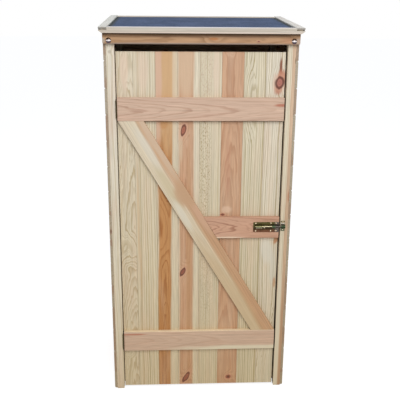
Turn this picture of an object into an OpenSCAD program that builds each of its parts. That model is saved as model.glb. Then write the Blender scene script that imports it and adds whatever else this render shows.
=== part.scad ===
// Garden tool cabinet: a tall narrow softwood cabinet with one full-height door,
// a felted pent roof that falls to the front, and a barrel bolt.
// Origin: middle of the roof's plan, on the ground. +X right, +Y to the back, +Z up.

/* [Overall] */
// Width over the side boards
body_w = 746; // [500:1:1200]
// Depth from the front of the posts to the back of the boards
body_d = 488; // [320:1:800]
// Height of the roof's front top edge
roof_front_z = 1548; // [1250:1:2000]
// Fall of the roof to the front, in degrees
roof_pitch = 4.7; // [2:0.1:10]
// Overhang of the roof beyond the side boards, with its mouldings
side_overhang = 12; // [9:1:60]
// Overhang of the roof in front of the posts
front_overhang = 40; // [34:1:90]
// Overhang of the roof behind the back boards
back_overhang = 12; // [10:1:60]

/* [Frame] */
// Side of a square corner post
post_w = 31.5; // [26:0.5:60]
// Thickness of the wall boards
board_t = 10; // [8:0.5:18]
// Ground to the lower edge of the wall boards
wall_lift = 6; // [2:1:30]
// Ground to the underside of the bottom rails
rail_lift = 14; // [8:1:40]
// Height of the bottom rails
bottom_rail_h = 40; // [30:1:70]
// Thickness of the floor boards
floor_t = 12; // [9:1:22]
// Thickness of the top rails under the roof
top_rail_t = 20; // [16:1:30]
// Height of the top rails under the roof
top_rail_h = 42; // [30:1:70]
// Gap left between loose-fitting frame pieces
joint_gap = 0.2; // [0.1:0.1:0.5]

/* [Header] */
// Height of the header rail across the front posts
header_h = 40; // [30:1:80]
// Thickness of the header rail
header_t = 18; // [12:1:28]
// Shadow gap between the header rail and the roof board
header_gap = 2; // [1:0.5:6]
// How far each end of the header stops inside the wall boards
header_inset = 0; // [0:0.5:8]
// Diameter of a dome bolt head
bolt_head_d = 20.6; // [14:0.2:26]
// Height of a dome bolt head
bolt_head_h = 5; // [3:0.2:8]
// Diameter of a bolt's shank
bolt_shank_d = 8; // [5:0.5:10]
// Bolt centre to the end of the header rail
bolt_end = 23; // [16:0.5:40]
// Bolt centre to the lower edge of the header rail
bolt_drop = 13; // [12:0.5:26]

/* [Door] */
// Ground to the door's lower edge
door_lift = 8; // [5:1:40]
// Vent gap between the header rail and the top of the door
vent_h = 28; // [12:1:60]
// Gap between the door and the left post, where the hinges are
hinge_gap = 3; // [3:0.5:9]
// Gap between the door and the right post
lock_gap = 5.5; // [4:0.5:10]
// Thickness of the door boards
door_board_t = 16; // [12:0.5:22]
// How far the door boards lie behind the front of the posts
door_inset = 14; // [8:1:20]
// Thickness of the door's rails and brace
door_rail_t = 16; // [12:0.5:22]
// Height of a door rail
door_rail_h = 91; // [60:1:120]
// Width of the brace, square to its length
brace_w = 86; // [60:1:110]
// How far the brace's ends stop inside the rails' ends
brace_end = 2; // [0:0.5:20]
// How far a rail stops short of the door's left edge
rail_end_gap = 1.5; // [0:0.5:10]
// Top of the door down to the top rail
top_rail_drop = 173; // [60:1:240]
// Door's lower edge up to the middle rail
middle_rail_up = 697; // [450:1:740]
// Door's lower edge up to the bottom rail
bottom_rail_up = 180; // [60:1:240]
// Gap between the back of the door and the bottom rail behind it
stop_gap = 5; // [5:0.5:12]
// Gap between the brace and the rails that meet it
brace_gap = 0.5; // [0.2:0.1:2]

/* [Hinges] */
// Length of a hinge
hinge_l = 70; // [50:1:110]
// Thickness of a hinge leaf
leaf_t = 1.2; // [1:0.1:2]
// Outer diameter of a hinge knuckle
knuckle_d = 5.6; // [5:0.2:8]
// Diameter of the hinge pin
pin_d = 3; // [2.4:0.2:4]
// Distance of the pin's centre in front of the door's rails
pin_out = 2.8; // [2.6:0.1:6]
// Play between pin and knuckle, on the radius
pin_play = 0.05; // [0.02:0.01:0.1]
// Gap between the ends of two knuckles
knuckle_gap = 0.4; // [0.2:0.1:1]

/* [Barrel bolt] */
// Length of the bolt plate
plate_l = 106; // [90:1:140]
// Height of the bolt plate and of the keeper
plate_h = 43; // [34:1:60]
// Thickness of the plate, the guides and the keeper
plate_t = 1.6; // [1:0.1:3]
// Bolt plate to the door's lock edge
plate_edge = 1; // [0:0.5:20]
// Diameter of the rod
rod_d = 10; // [8:0.5:14]
// Gap behind the rod, between it and the plate
rod_lift = 1.4; // [1:0.1:3]
// Play between the rod and its guides, on the radius
rod_play = 0.4; // [0.2:0.1:1]
// Length of the left guide
guide_left_l = 27; // [12:1:34]
// Length of the right guide
guide_right_l = 13; // [10:1:24]
// Plate's left end to the left guide
guide_left_x = 9; // [6:1:14]
// Plate's right end to the right guide
guide_right_x = 16; // [6:1:20]
// Diameter of the knob on the rod
knob_d = 8; // [6:0.5:12]
// Height of the knob above the rod
knob_h = 9; // [6:0.5:16]
// Gap between the left guide and the knob when the bolt is drawn
knob_gap = 3; // [2.5:0.5:8]
// Middle of the plate above the middle of its rail
plate_raise = 2; // [-6:0.5:6]
// Rod above the middle of the plate
rod_raise = 4; // [0:0.5:6]
// Width of the keeper along the rod
keeper_l = 16; // [12:1:30]
// Inner edge of the lock post to the keeper
keeper_gap = 2.5; // [2:0.5:6]
// Room around the rod in the keeper
keeper_play = 1.5; // [1:0.1:3]
// Distance from the rod's end to the keeper when the bolt is drawn
rod_short = 1.5; // [1:0.5:3]

/* [Roof] */
// Thickness of the roof board
roof_board_t = 15; // [9:1:22]
// Gap between the roof board and the frame that carries it
roof_seat = 0.05; // [0.02:0.01:0.3]
// Thickness of the felt
felt_t = 3; // [2:0.5:4.5]
// Thickness of a moulding's flat top
mould_t = 7.5; // [5:0.5:12]
// Width of a moulding's flat top
mould_w = 31; // [26:1:60]
// Height of a moulding, top to lower edge
mould_h = 23; // [23:1:60]
// Thickness of a moulding's hanging edge
mould_edge_t = 8; // [6:0.5:14]
// Height of the slot left under a side moulding at the front and back corners
corner_slot = 4; // [2:0.5:6]
// How far the front and back mouldings lie below the tops of the side mouldings
cross_drop = 2; // [0.5:0.5:2.5]

/* [Hidden] */

$fn = 48;
pine = "#D6CAB2";
pine_dark = "#C4A58C";
felt_blue = "#4C5C80";
zinc = "#9A9A92";
yellow_zinc = "#8A8158";

// Roof over its mouldings, in plan
roof_w = body_w + 2 * side_overhang;
roof_d = body_d + front_overhang + back_overhang;

// Roof plane: its rise and run for each unit up the slope
roof_rise = sin(roof_pitch);
roof_run = cos(roof_pitch);
roof_len = (roof_d - mould_h * roof_rise) / roof_run;
roof_front_y = -roof_d / 2;
roof_under = mould_t + roof_board_t;

// Height of the frame's sloping top, under the roof board, at depth y
function under_z(y) = roof_front_z - roof_under / roof_run - roof_seat
    + (y - roof_front_y) * roof_rise / roof_run;

// Frame lines
post_front_y = roof_front_y + front_overhang;
wall_back_y = roof_d / 2 - back_overhang;
post_back_y = wall_back_y - board_t;
wall_in_x = body_w / 2 - board_t;
post_in_x = wall_in_x - post_w;
front_post_back_y = post_front_y + post_w;
back_post_front_y = post_back_y - post_w;

// Header and door lines
header_top_z = under_z(post_front_y - header_t) - header_gap;
header_z = header_top_z - header_h;
header_l = body_w - 2 * header_inset;
bolt_x = header_l / 2 - bolt_end;
bolt_z = header_z + bolt_drop;
door_top_z = header_z - vent_h;
door_left_x = -post_in_x + hinge_gap;
door_right_x = post_in_x - lock_gap;
board_front_y = post_front_y + door_inset;
door_back_y = board_front_y + door_board_t;
rail_front_y = board_front_y - door_rail_t;
rail_left_x = door_left_x + rail_end_gap;
top_rail_z = door_top_z - top_rail_drop - door_rail_h;
middle_rail_z = door_lift + middle_rail_up;
bottom_rail_z = door_lift + bottom_rail_up;
bottom_rail_y = door_back_y + stop_gap;
floor_z = rail_lift + bottom_rail_h;

// Brace: from the left end under the top rail to the right end over the bottom rail
brace_low_z = bottom_rail_z + door_rail_h + brace_gap;
brace_high_z = top_rail_z - brace_gap;
brace_left_end = rail_left_x + brace_end;
brace_run_x = door_right_x - brace_end - brace_left_end;
brace_run_z = brace_high_z - brace_low_z;
// Level width of the brace, so that it is brace_w wide square to its length:
// the root of cut * brace_run_z = brace_w * sqrt((brace_run_x - cut)^2 + brace_run_z^2)
brace_cut = brace_w * (brace_run_z * sqrt(pow(brace_run_x, 2) + pow(brace_run_z, 2) - pow(brace_w, 2))
    - brace_w * brace_run_x) / (pow(brace_run_z, 2) - pow(brace_w, 2));
// Edges of the brace at height z: lower-left and upper-right
function brace_left_x(z) = brace_left_end
    + (brace_high_z - z) * (brace_run_x - brace_cut) / brace_run_z;
function brace_right_x(z) = brace_left_x(z) + brace_cut;

// Hinge and barrel bolt lines
pin_x = (-post_in_x + door_left_x) / 2;
pin_y = rail_front_y - pin_out;
leaf_back_y = min(door_back_y, front_post_back_y) - 1;
hinge_upper_z = top_rail_z + (door_rail_h - hinge_l) / 2;
hinge_lower_z = bottom_rail_z + (door_rail_h - hinge_l) / 2;
plate_right_x = door_right_x - plate_edge;
plate_left_x = plate_right_x - plate_l;
plate_front_y = rail_front_y - plate_t;
rod_r = rod_d / 2;
rod_y = plate_front_y - rod_lift - rod_r;
plate_z = middle_rail_z + door_rail_h / 2 + plate_raise;
latch_z = plate_z + rod_raise;
keeper_x = post_in_x + keeper_gap;
rod_right_x = keeper_x - rod_short;
guide_left_x0 = plate_left_x + guide_left_x;
guide_left_x1 = guide_left_x0 + guide_left_l;
guide_right_x1 = plate_right_x - guide_right_x;
guide_right_x0 = guide_right_x1 - guide_right_l;
rod_left_x = guide_left_x0 - 2;
knob_x = guide_left_x1 + knob_gap + knob_d / 2;

// A block between two corners
module block(a, b) translate(a) cube(b - a);

// A side view [[y, z], ...] drawn out along X from x0 to x1
module side_profile(points, x0, x1)
    translate([x0, 0, 0]) rotate([90, 0, 90]) linear_extrude(x1 - x0) polygon(points);

// A front view [[x, z], ...] drawn out towards the back from y0 to y1
module front_profile(points, y0, y1)
    translate([0, y1, 0]) rotate([90, 0, 0]) linear_extrude(y1 - y0) polygon(points);

// A block whose top follows the roof's underside
module under_roof(x0, x1, y0, y1, z0)
    side_profile([[y0, z0], [y1, z0], [y1, under_z(y1)], [y0, under_z(y0)]], x0, x1);

// Puts its children on the sloping roof: x across, y up the slope, z square to it
module on_roof()
    translate([0, roof_front_y, roof_front_z]) rotate([roof_pitch, 0, 0]) children();

module post(side, y0)
    under_roof(side < 0 ? -wall_in_x : post_in_x, side < 0 ? -post_in_x : wall_in_x,
               y0, y0 + post_w, 0);

module post_front_left() color(pine) post(-1, post_front_y);
module post_front_right() color(pine) post(1, post_front_y);
module post_back_left() color(pine) post(-1, back_post_front_y);
module post_back_right() color(pine) post(1, back_post_front_y);

module header_rail() color(pine_dark)
    difference() {
        block([-header_l / 2, post_front_y - header_t, header_z],
              [header_l / 2, post_front_y, header_top_z]);
        for (side = [-1, 1])
            translate([side * bolt_x, post_front_y + 1, bolt_z]) rotate([90, 0, 0])
                cylinder(d = bolt_shank_d, h = header_t + 2);
    }

// Dome heads on the header, with their shanks through it
module header_bolts() color(zinc)
    for (side = [-1, 1]) translate([side * bolt_x, post_front_y, bolt_z]) rotate([90, 0, 0]) {
        cylinder(d = bolt_shank_d, h = header_t);
        translate([0, 0, header_t]) rotate_extrude() dome_outline();
    }

// Half of a dome head: flat under, a spherical cap above
module dome_outline() {
    cap_r = (pow(bolt_head_d / 2, 2) + pow(bolt_head_h, 2)) / (2 * bolt_head_h);
    intersection() {
        square([bolt_head_d / 2, bolt_head_h]);
        translate([0, bolt_head_h - cap_r]) circle(r = cap_r, $fn = 96);
    }
}

module back_top_rail() color(pine)
    under_roof(-post_in_x, post_in_x, post_back_y - top_rail_t, post_back_y,
               under_z(post_back_y - top_rail_t) - top_rail_h);

module side_top_rail(side) {
    y0 = front_post_back_y;
    y1 = back_post_front_y;
    side_profile([[y0, under_z(y0) - top_rail_h], [y1, under_z(y1) - top_rail_h],
                  [y1, under_z(y1)], [y0, under_z(y0)]],
                 side < 0 ? -wall_in_x : wall_in_x - top_rail_t,
                 side < 0 ? -wall_in_x + top_rail_t : wall_in_x);
}
module side_top_rail_left() color(pine) side_top_rail(-1);
module side_top_rail_right() color(pine) side_top_rail(1);

module bottom_rail_front() color(pine_dark)
    block([-post_in_x, bottom_rail_y, rail_lift],
          [post_in_x, bottom_rail_y + post_w, floor_z]);
module bottom_rail_back() color(pine_dark)
    block([-post_in_x, back_post_front_y, rail_lift], [post_in_x, post_back_y, floor_z]);
module bottom_rail_side(side)
    block([side < 0 ? -wall_in_x : post_in_x, front_post_back_y, rail_lift],
          [side < 0 ? -post_in_x : wall_in_x, back_post_front_y, floor_z]);
module bottom_rail_left() color(pine_dark) bottom_rail_side(-1);
module bottom_rail_right() color(pine_dark) bottom_rail_side(1);

module left_wall() color(pine)
    under_roof(-body_w / 2, -wall_in_x, post_front_y, wall_back_y, wall_lift);
module right_wall() color(pine)
    under_roof(wall_in_x, body_w / 2, post_front_y, wall_back_y, wall_lift);
module back_wall() color(pine)
    under_roof(-wall_in_x, wall_in_x, post_back_y, wall_back_y, wall_lift);

module floor_boards() color(pine)
    difference() {
        block([-wall_in_x, bottom_rail_y, floor_z],
              [wall_in_x, post_back_y, floor_z + floor_t]);
        for (side = [-1, 1]) {
            // Notches around the posts; the front ones may end before the floor starts
            if (front_post_back_y + joint_gap > bottom_rail_y)
                post_notch(side, bottom_rail_y - 1, front_post_back_y + joint_gap);
            post_notch(side, back_post_front_y - joint_gap, post_back_y + 1);
        }
    }

// Room for a post in the floor, from y0 to y1
module post_notch(side, y0, y1)
    block([side < 0 ? -wall_in_x - 1 : post_in_x - joint_gap, y0, floor_z - 1],
          [side < 0 ? -post_in_x + joint_gap : wall_in_x + 1, y1, floor_z + floor_t + 1]);

module roof_board() color(pine_dark)
    on_roof() block([-roof_w / 2 + mould_edge_t, mould_edge_t, -roof_under],
                    [roof_w / 2 - mould_edge_t, roof_len - mould_edge_t, -mould_t]);
// Felt on the roof board, inside the mouldings
module roof_felt() color(felt_blue)
    on_roof() block([-roof_w / 2 + mould_w, mould_w, -mould_t],
                    [roof_w / 2 - mould_w, roof_len - mould_w, -mould_t + felt_t]);

// A moulding across the roof: flat top, hanging edge, its top let in for the side mouldings
module cross_moulding() difference() {
    side_profile([[0, -mould_h], [mould_edge_t, -mould_h], [mould_edge_t, -mould_t],
                  [mould_w, -mould_t], [mould_w, -cross_drop], [0, -cross_drop]],
                 -roof_w / 2, roof_w / 2);
    for (side = [-1, 1])
        block([side < 0 ? -roof_w / 2 - 1 : roof_w / 2 - mould_w - joint_gap, -1,
               -mould_t - corner_slot],
              [side < 0 ? -roof_w / 2 + mould_w + joint_gap : roof_w / 2 + 1, mould_w + 1, 1]);
}
module roof_moulding_front() color(pine) on_roof() cross_moulding();
module roof_moulding_back() color(pine)
    on_roof() translate([0, roof_len, 0]) mirror([0, 1, 0]) cross_moulding();

// A moulding up the slope: its flat top runs to both ends over the cross mouldings
module slope_moulding() on_roof() {
    block([-roof_w / 2, 0, -mould_t], [-roof_w / 2 + mould_w, roof_len, 0]);
    block([-roof_w / 2, mould_edge_t, -mould_h],
          [-roof_w / 2 + mould_edge_t, roof_len - mould_edge_t, -mould_t]);
}
module roof_moulding_left() color(pine) slope_moulding();
module roof_moulding_right() color(pine) mirror([1, 0, 0]) slope_moulding();

module door_boards() color(pine)
    block([door_left_x, board_front_y, door_lift], [door_right_x, door_back_y, door_top_z]);

module door_rail(x0, z0)
    block([x0, rail_front_y, z0], [door_right_x, board_front_y, z0 + door_rail_h]);
module door_top_rail() color(pine_dark) door_rail(rail_left_x, top_rail_z);
module door_bottom_rail() color(pine_dark) door_rail(rail_left_x, bottom_rail_z);
module door_middle_rail() color(pine_dark)
    front_profile([[brace_right_x(middle_rail_z) + brace_gap, middle_rail_z],
                   [door_right_x, middle_rail_z],
                   [door_right_x, middle_rail_z + door_rail_h],
                   [brace_right_x(middle_rail_z + door_rail_h) + brace_gap,
                    middle_rail_z + door_rail_h]],
                  rail_front_y, board_front_y);
module door_brace() color(pine)
    front_profile([[brace_left_x(brace_low_z), brace_low_z],
                   [brace_right_x(brace_low_z), brace_low_z],
                   [brace_right_x(brace_high_z), brace_high_z],
                   [brace_left_x(brace_high_z), brace_high_z]],
                  rail_front_y, board_front_y);

// Leaf on the post with its two end knuckles and the pin through all three
module post_leaf(z0) color(yellow_zinc) {
    k = hinge_l / 3;
    block([-post_in_x, pin_y + knuckle_d / 2 + knuckle_gap, z0],
          [-post_in_x + leaf_t, leaf_back_y, z0 + hinge_l]);
    for (z = [z0, z0 + 2 * k + knuckle_gap]) {
        translate([pin_x, pin_y, z]) cylinder(d = knuckle_d, h = k - knuckle_gap);
        block([-post_in_x, pin_y, z], [-post_in_x + leaf_t, leaf_back_y, z + k - knuckle_gap]);
    }
    translate([pin_x, pin_y, z0]) cylinder(d = pin_d, h = hinge_l);
}
// Leaf on the door's edge with the middle knuckle, bored for the pin
module door_leaf(z0) color(yellow_zinc) {
    k = hinge_l / 3;
    difference() {
        union() {
            block([door_left_x - leaf_t, pin_y, z0 + k], [door_left_x, leaf_back_y, z0 + 2 * k]);
            block([door_left_x - leaf_t, pin_y + knuckle_d / 2 + knuckle_gap, z0],
                  [door_left_x, leaf_back_y, z0 + hinge_l]);
            translate([pin_x, pin_y, z0 + k]) cylinder(d = knuckle_d, h = k);
        }
        translate([pin_x, pin_y, z0 - 1]) cylinder(r = pin_d / 2 + pin_play, h = hinge_l + 2);
    }
}
module hinge_upper_post_leaf() post_leaf(hinge_upper_z);
module hinge_upper_door_leaf() door_leaf(hinge_upper_z);
module hinge_lower_post_leaf() post_leaf(hinge_lower_z);
module hinge_lower_door_leaf() door_leaf(hinge_lower_z);

module latch_plate() color(yellow_zinc)
    block([plate_left_x, plate_front_y, plate_z - plate_h / 2],
          [plate_right_x, rail_front_y, plate_z + plate_h / 2]);

// A strap bent over the rod, from x0 to x1, standing on a face at back_y; play is the room round the rod
module strap(x0, x1, back_y, play) {
    in_r = rod_r + play;
    out_r = in_r + plate_t;
    translate([x0, 0, 0]) rotate([90, 0, 90]) linear_extrude(x1 - x0) difference() {
        union() {
            translate([rod_y, latch_z]) circle(r = out_r);
            translate([rod_y, latch_z - out_r]) square([back_y - rod_y, 2 * out_r]);
        }
        translate([rod_y, latch_z]) circle(r = in_r);
        translate([rod_y, latch_z - in_r]) square([back_y - rod_y + 1, 2 * in_r]);
    }
}
module latch_guide_left() color(yellow_zinc)
    strap(guide_left_x0, guide_left_x1, plate_front_y, rod_play);
module latch_guide_right() color(yellow_zinc)
    strap(guide_right_x0, guide_right_x1, plate_front_y, rod_play);

module latch_rod() color(yellow_zinc)
    translate([rod_left_x, rod_y, latch_z]) rotate([0, 90, 0])
        cylinder(d = rod_d, h = rod_right_x - rod_left_x);

// Round knob on a short neck, standing out of the rod
module latch_knob() color(yellow_zinc)
    translate([knob_x, rod_y, latch_z]) rotate([90, 0, 0]) {
        difference() {
            cylinder(d = knob_d * 0.6, h = rod_r + knob_h - knob_d / 2);
            rotate([0, 90, 0]) cylinder(d = rod_d, h = knob_d * 2, center = true);
        }
        translate([0, 0, rod_r + knob_h - knob_d / 2]) sphere(d = knob_d);
    }

// Keeper on the post: a strap with a foot above and below
module latch_keeper() color(yellow_zinc) {
    in_r = rod_r + keeper_play;
    out_r = in_r + plate_t;
    strap(keeper_x, keeper_x + keeper_l, post_front_y, keeper_play);
    for (side = [-1, 1])
        block([keeper_x, post_front_y - plate_t, side < 0 ? latch_z - plate_h / 2 : latch_z + in_r],
              [keeper_x + keeper_l, post_front_y, side < 0 ? latch_z - in_r : latch_z + plate_h / 2]);
}

post_front_left();
post_front_right();
post_back_left();
post_back_right();
header_rail();
header_bolts();
back_top_rail();
side_top_rail_left();
side_top_rail_right();
bottom_rail_front();
bottom_rail_back();
bottom_rail_left();
bottom_rail_right();
left_wall();
right_wall();
back_wall();
floor_boards();
roof_board();
roof_felt();
roof_moulding_front();
roof_moulding_back();
roof_moulding_left();
roof_moulding_right();
door_boards();
door_top_rail();
door_middle_rail();
door_bottom_rail();
door_brace();
hinge_upper_post_leaf();
hinge_upper_door_leaf();
hinge_lower_post_leaf();
hinge_lower_door_leaf();
latch_plate();
latch_guide_left();
latch_guide_right();
latch_rod();
latch_knob();
latch_keeper();
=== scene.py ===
"""Looks of a garden tool cabinet: planed softwood, roofing felt and plated fittings on the CAD frame."""
import logging
import math
import random
from dataclasses import dataclass, replace
from enum import Enum
from typing import Callable, Optional, Sequence, Union

import bmesh
import bpy
from mathutils import Matrix, Vector


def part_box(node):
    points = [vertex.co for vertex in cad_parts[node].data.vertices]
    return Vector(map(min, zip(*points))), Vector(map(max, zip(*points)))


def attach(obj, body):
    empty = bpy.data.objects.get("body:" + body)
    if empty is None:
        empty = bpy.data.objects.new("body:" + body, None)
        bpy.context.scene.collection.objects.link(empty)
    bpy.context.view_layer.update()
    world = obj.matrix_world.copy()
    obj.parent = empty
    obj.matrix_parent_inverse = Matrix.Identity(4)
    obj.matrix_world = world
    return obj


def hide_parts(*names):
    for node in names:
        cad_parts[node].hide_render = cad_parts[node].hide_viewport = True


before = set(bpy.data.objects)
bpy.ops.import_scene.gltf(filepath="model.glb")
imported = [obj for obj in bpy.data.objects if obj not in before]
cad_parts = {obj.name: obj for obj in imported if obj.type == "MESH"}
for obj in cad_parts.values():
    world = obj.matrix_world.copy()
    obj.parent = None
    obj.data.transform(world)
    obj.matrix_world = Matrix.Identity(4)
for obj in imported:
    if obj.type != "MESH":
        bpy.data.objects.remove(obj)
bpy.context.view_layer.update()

LOG = logging.getLogger("tool_cabinet")
MM = 0.001
SEED = 41
X, Y, Z = Vector((1, 0, 0)), Vector((0, 1, 0)), Vector((0, 0, 1))

MATH, VECTOR = "ShaderNodeMath", "ShaderNodeVectorMath"
NOISE, RANGE = "ShaderNodeTexNoise", "ShaderNodeMapRange"
MIX, MAPPING = "ShaderNodeMix", "ShaderNodeMapping"
COORDS, SPLIT = "ShaderNodeTexCoord", "ShaderNodeSeparateXYZ"
BUMP, SHADER, OUTPUT = "ShaderNodeBump", "ShaderNodeBsdfPrincipled", "ShaderNodeOutputMaterial"
# Settings that many nodes share: a sum, a product, a soft range, one colour over another or times another.
SUM, TIMES = {"operation": "ADD"}, {"operation": "MULTIPLY"}
SOFT = {"interpolation_type": "SMOOTHSTEP"}
OVER = {"data_type": "RGBA"}
TINT = {"data_type": "RGBA", "blend_type": "MULTIPLY"}

# How far apart two corners may lie and be one, and the least angles of a real edge, an eased and a sharp one.
WELD_MM = 0.005
FLAT_DEGREES, EASED_DEGREES, SHARP_DEGREES = 0.5, 20.0, 38.0

Node, Material = bpy.types.Node, bpy.types.Material
Value = Union[float, Sequence[float], Node, bpy.types.NodeSocket]
Point2 = tuple[float, float]
Vert, Edge = bmesh.types.BMVert, bmesh.types.BMEdge


def linear(hex_colour: str) -> tuple[float, float, float, float]:
    """Turns an sRGB colour to the linear one that Blender works in.

    Args:
        hex_colour: the colour as #RRGGBB.
    Returns:
        Linear red, green, blue and alpha.
    """
    toe, toe_slope, offset, gamma = 0.04045, 12.92, 0.055, 2.4
    parts = [int(hex_colour[i:i + 2], 16) / 255 for i in (1, 3, 5)]
    bent = (c / toe_slope if c <= toe else ((c + offset) / (1 + offset)) ** gamma for c in parts)
    return (*bent, 1.0)


class NodeTree:
    """The nodes of a material or a world, being put together.

    Attributes:
        owner: the material or world.
    """

    def __init__(self, owner: Union[Material, bpy.types.World]) -> None:
        """Takes over the owner's nodes and clears them.

        Args:
            owner: the material or world.
        """
        owner.use_nodes = True
        owner.node_tree.nodes.clear()
        self.owner = owner

    def add(self, kind: str, inputs: Optional[dict[Union[int, str], Value]] = None,
            **settings: object) -> Node:
        """Adds a node with its settings and links.

        Args:
            kind: the node's type.
            inputs: for each input, by number or shown name, a value, or a node or socket to link from.
            settings: the node's own settings, such as operation.
        Returns:
            The new node.
        """
        tree = self.owner.node_tree
        node = tree.nodes.new(kind)
        for name, value in settings.items():
            setattr(node, name, value)
        for key, value in (inputs or {}).items():
            socket = node.inputs[key] if isinstance(key, int) else next(
                s for s in node.inputs if s.enabled and s.name == key)
            if isinstance(value, Node):
                value = next(s for s in value.outputs if s.enabled)
            if isinstance(value, bpy.types.NodeSocket):
                tree.links.new(value, socket)
            else:
                socket.default_value = value
        return node


class MarkKind(Enum):
    """What a mark in a board is, with where it is gone and where it is full, in half sizes of the mark."""

    KNOT = (1.15, 0.88)
    STAIN = (1.25, 0.55)
    FLECKS = (1.2, 0.5)
    SWIRL = (0.0, 0.0)


KNOT, STAIN, FLECKS, SWIRL = MarkKind


@dataclass(frozen=True)
class Mark:
    """A knot, a stain, a painted highlight or shadow, a swirl of the grain or a patch of short flecks, at a
    place on a front face.

    Attributes:
        kind: what it is.
        x: its middle across the cabinet, mm.
        z: its middle above the ground, mm.
        half_wide: half its size across the grain, mm.
        half_long: half its size along the grain, mm.
        colour: its colour as sRGB hex; a swirl has none of its own.
        strength: how strongly it shows, 0 to 1.
        lean: how far it leans over, degrees.
        bend: how far the year rings bend round it, mm.
        rim: the colour of a knot's rim.
        inward: how far its middle lies behind the board's middle, mm.
        half_deep: half its size through the board, mm; it goes right through if not given.
    """

    kind: MarkKind
    x: float
    z: float
    half_wide: float
    half_long: float
    colour: str = "#8E4A38"
    strength: float = 0.9
    lean: float = 0.0
    bend: float = 0.0
    rim: str = "#9A5A46"
    inward: float = 0.0
    half_deep: float = 1e4


@dataclass(frozen=True)
class Lie:
    """How a board lies in the cabinet.

    Attributes:
        middle: its middle, metres.
        along: which way its grain runs.
        face: which way its show face looks.
    """

    middle: Vector
    along: Vector
    face: Vector

    @property
    def turn(self) -> Matrix:
        """The rotation from the cabinet's axes to across, inward and along."""
        return Matrix((self.along.cross(self.face), -self.face, self.along))

    def on_face(self, x: float, z: float) -> Vector:
        """A place on a front face, as across, inward and along.

        Args:
            x: across the cabinet, mm.
            z: above the ground, mm.
        Returns:
            The same place on the board, mm from its middle.
        """
        away = Vector((x * MM, self.middle.y, z * MM)) - self.middle
        return (self.turn @ away) / MM

    def mapping(self, coords: Node) -> dict[str, Value]:
        """What maps a material's point to across, inward and along, mm from the board's middle.

        Args:
            coords: the texture coordinates.
        Returns:
            The inputs of a mapping node.
        """
        return {"Vector": coords.outputs["Object"], "Location": -(self.turn @ self.middle) / MM,
                "Rotation": self.turn.to_euler(), "Scale": (1 / MM,) * 3}


def lie_of(node: str, along: Vector, face: Vector) -> Lie:
    """How the CAD node lies, from its box.

    Args:
        node: the CAD node.
        along: which way its grain runs.
        face: which way its show face looks.
    Returns:
        Its lie.
    """
    low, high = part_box(node)
    return Lie((low + high) / 2, along, face)


class Cut(Enum):
    """How a board was sawn: how far the log's heart lies across from the board's middle and behind it, mm."""

    FLAT = (4.0, 58.0)
    RIFT = (-96.0, 70.0)
    QUARTER = (-230.0, 12.0)
    HEART = (0.0, 24.0)


class Grain(Enum):
    """An unevenness of the wood: its size across, inward and along, mm, and how many finer layers it has.

    Fibres and streaks are far finer in real wood; both are as coarse as they need to be to show.
    """

    WANDER = ((110, 110, 620), 1.0)
    DRIFT = ((38, 38, 300), 2.0)
    RIPPLE = ((14, 14, 95), 2.0)
    STREAK = ((7, 7, 420), 2.0)
    FLECK = ((3.6, 3.6, 8.0), 1.0)
    FIBRE = ((2.2, 2.2, 70), 3.0)


@dataclass(frozen=True)
class Softwood:
    """Planed pine: growth rings cut as the board lies in its log, knots, fibres, a dull planed face.

    The year rings of slow pine are 1 to 3 mm apart. Here they are drawn up to 10 mm apart on straight-grained
    boards, as coarse as they need to be to show from across a garden.

    Attributes:
        name: the wood's common name.
        sap: colours of the pale sapwood, spring wood and summer wood.
        heart: colours of the darker heartwood, spring wood and summer wood.
        flush: a warmer tint that drifts along the board.
        heart_mm: the heartwood's radius in the log, 0 for none.
        heart_edge: how far the heartwood fades out, mm.
        cut: how the board was sawn.
        shift: how far the log's heart lies from the cut's usual place, across, mm.
        ring_mm: distance between two year rings.
        taper: how much the rings widen along the log, mm for each mm.
        askew: how far the log's heart runs across the board, mm for each mm along.
        wander: how far the log's heart wanders, mm.
        ripple: how far the rings ripple, mm.
        late_from: the share of each ring after which its dark summer wood begins.
        contrast: how strongly the summer wood shows, 0 to 1.
        flush_share: how much of the flush shows, 0 to 1.
        marks: what grew in the board.
        seed: where in the noise the board lies.
        scattered_knots: whether small knots are strewn over it.
        sawn: colour of its sawn ends.
    """

    name: str = "planed_pine"
    sap: tuple[str, str] = ("#DBD1BA", "#BDAB88")
    heart: tuple[str, str] = ("#CDA586", "#AC7F60")
    flush: str = "#D9BFA6"
    heart_mm: float = 0.0
    heart_edge: float = 3.0
    cut: Cut = Cut.QUARTER
    shift: float = 0.0
    ring_mm: float = 9.0
    taper: float = 0.0
    askew: float = 0.0
    wander: float = 10.0
    ripple: float = 1.2
    late_from: float = 0.3
    contrast: float = 0.8
    flush_share: float = 0.35
    marks: tuple[Mark, ...] = ()
    seed: float = 0.0
    scattered_knots: bool = False
    sawn: str = "#8F7560"

    def material(self, label: str, lie: Lie, per_board: bool = False) -> Material:
        """Builds the material.

        Args:
            label: what the board is called.
            lie: how the board lies.
            per_board: whether the mesh holds several boards, each with its own place in a log.
        Returns:
            The material.
        """
        return BoardTree(self, label, lie, per_board).build()


# How far each seed moves a board through the noise, mm, and the small knots strewn over rough boards.
SEED_STEP = Vector((310, 170, 910))
SMALL_KNOT = Mark(KNOT, 0, 0, 8, 10.4, "#7E5240", 0.75, bend=7.0, rim="#8C6450")
KNOT_SPACING_MM = (150.0, 1e4, 560.0)


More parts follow.
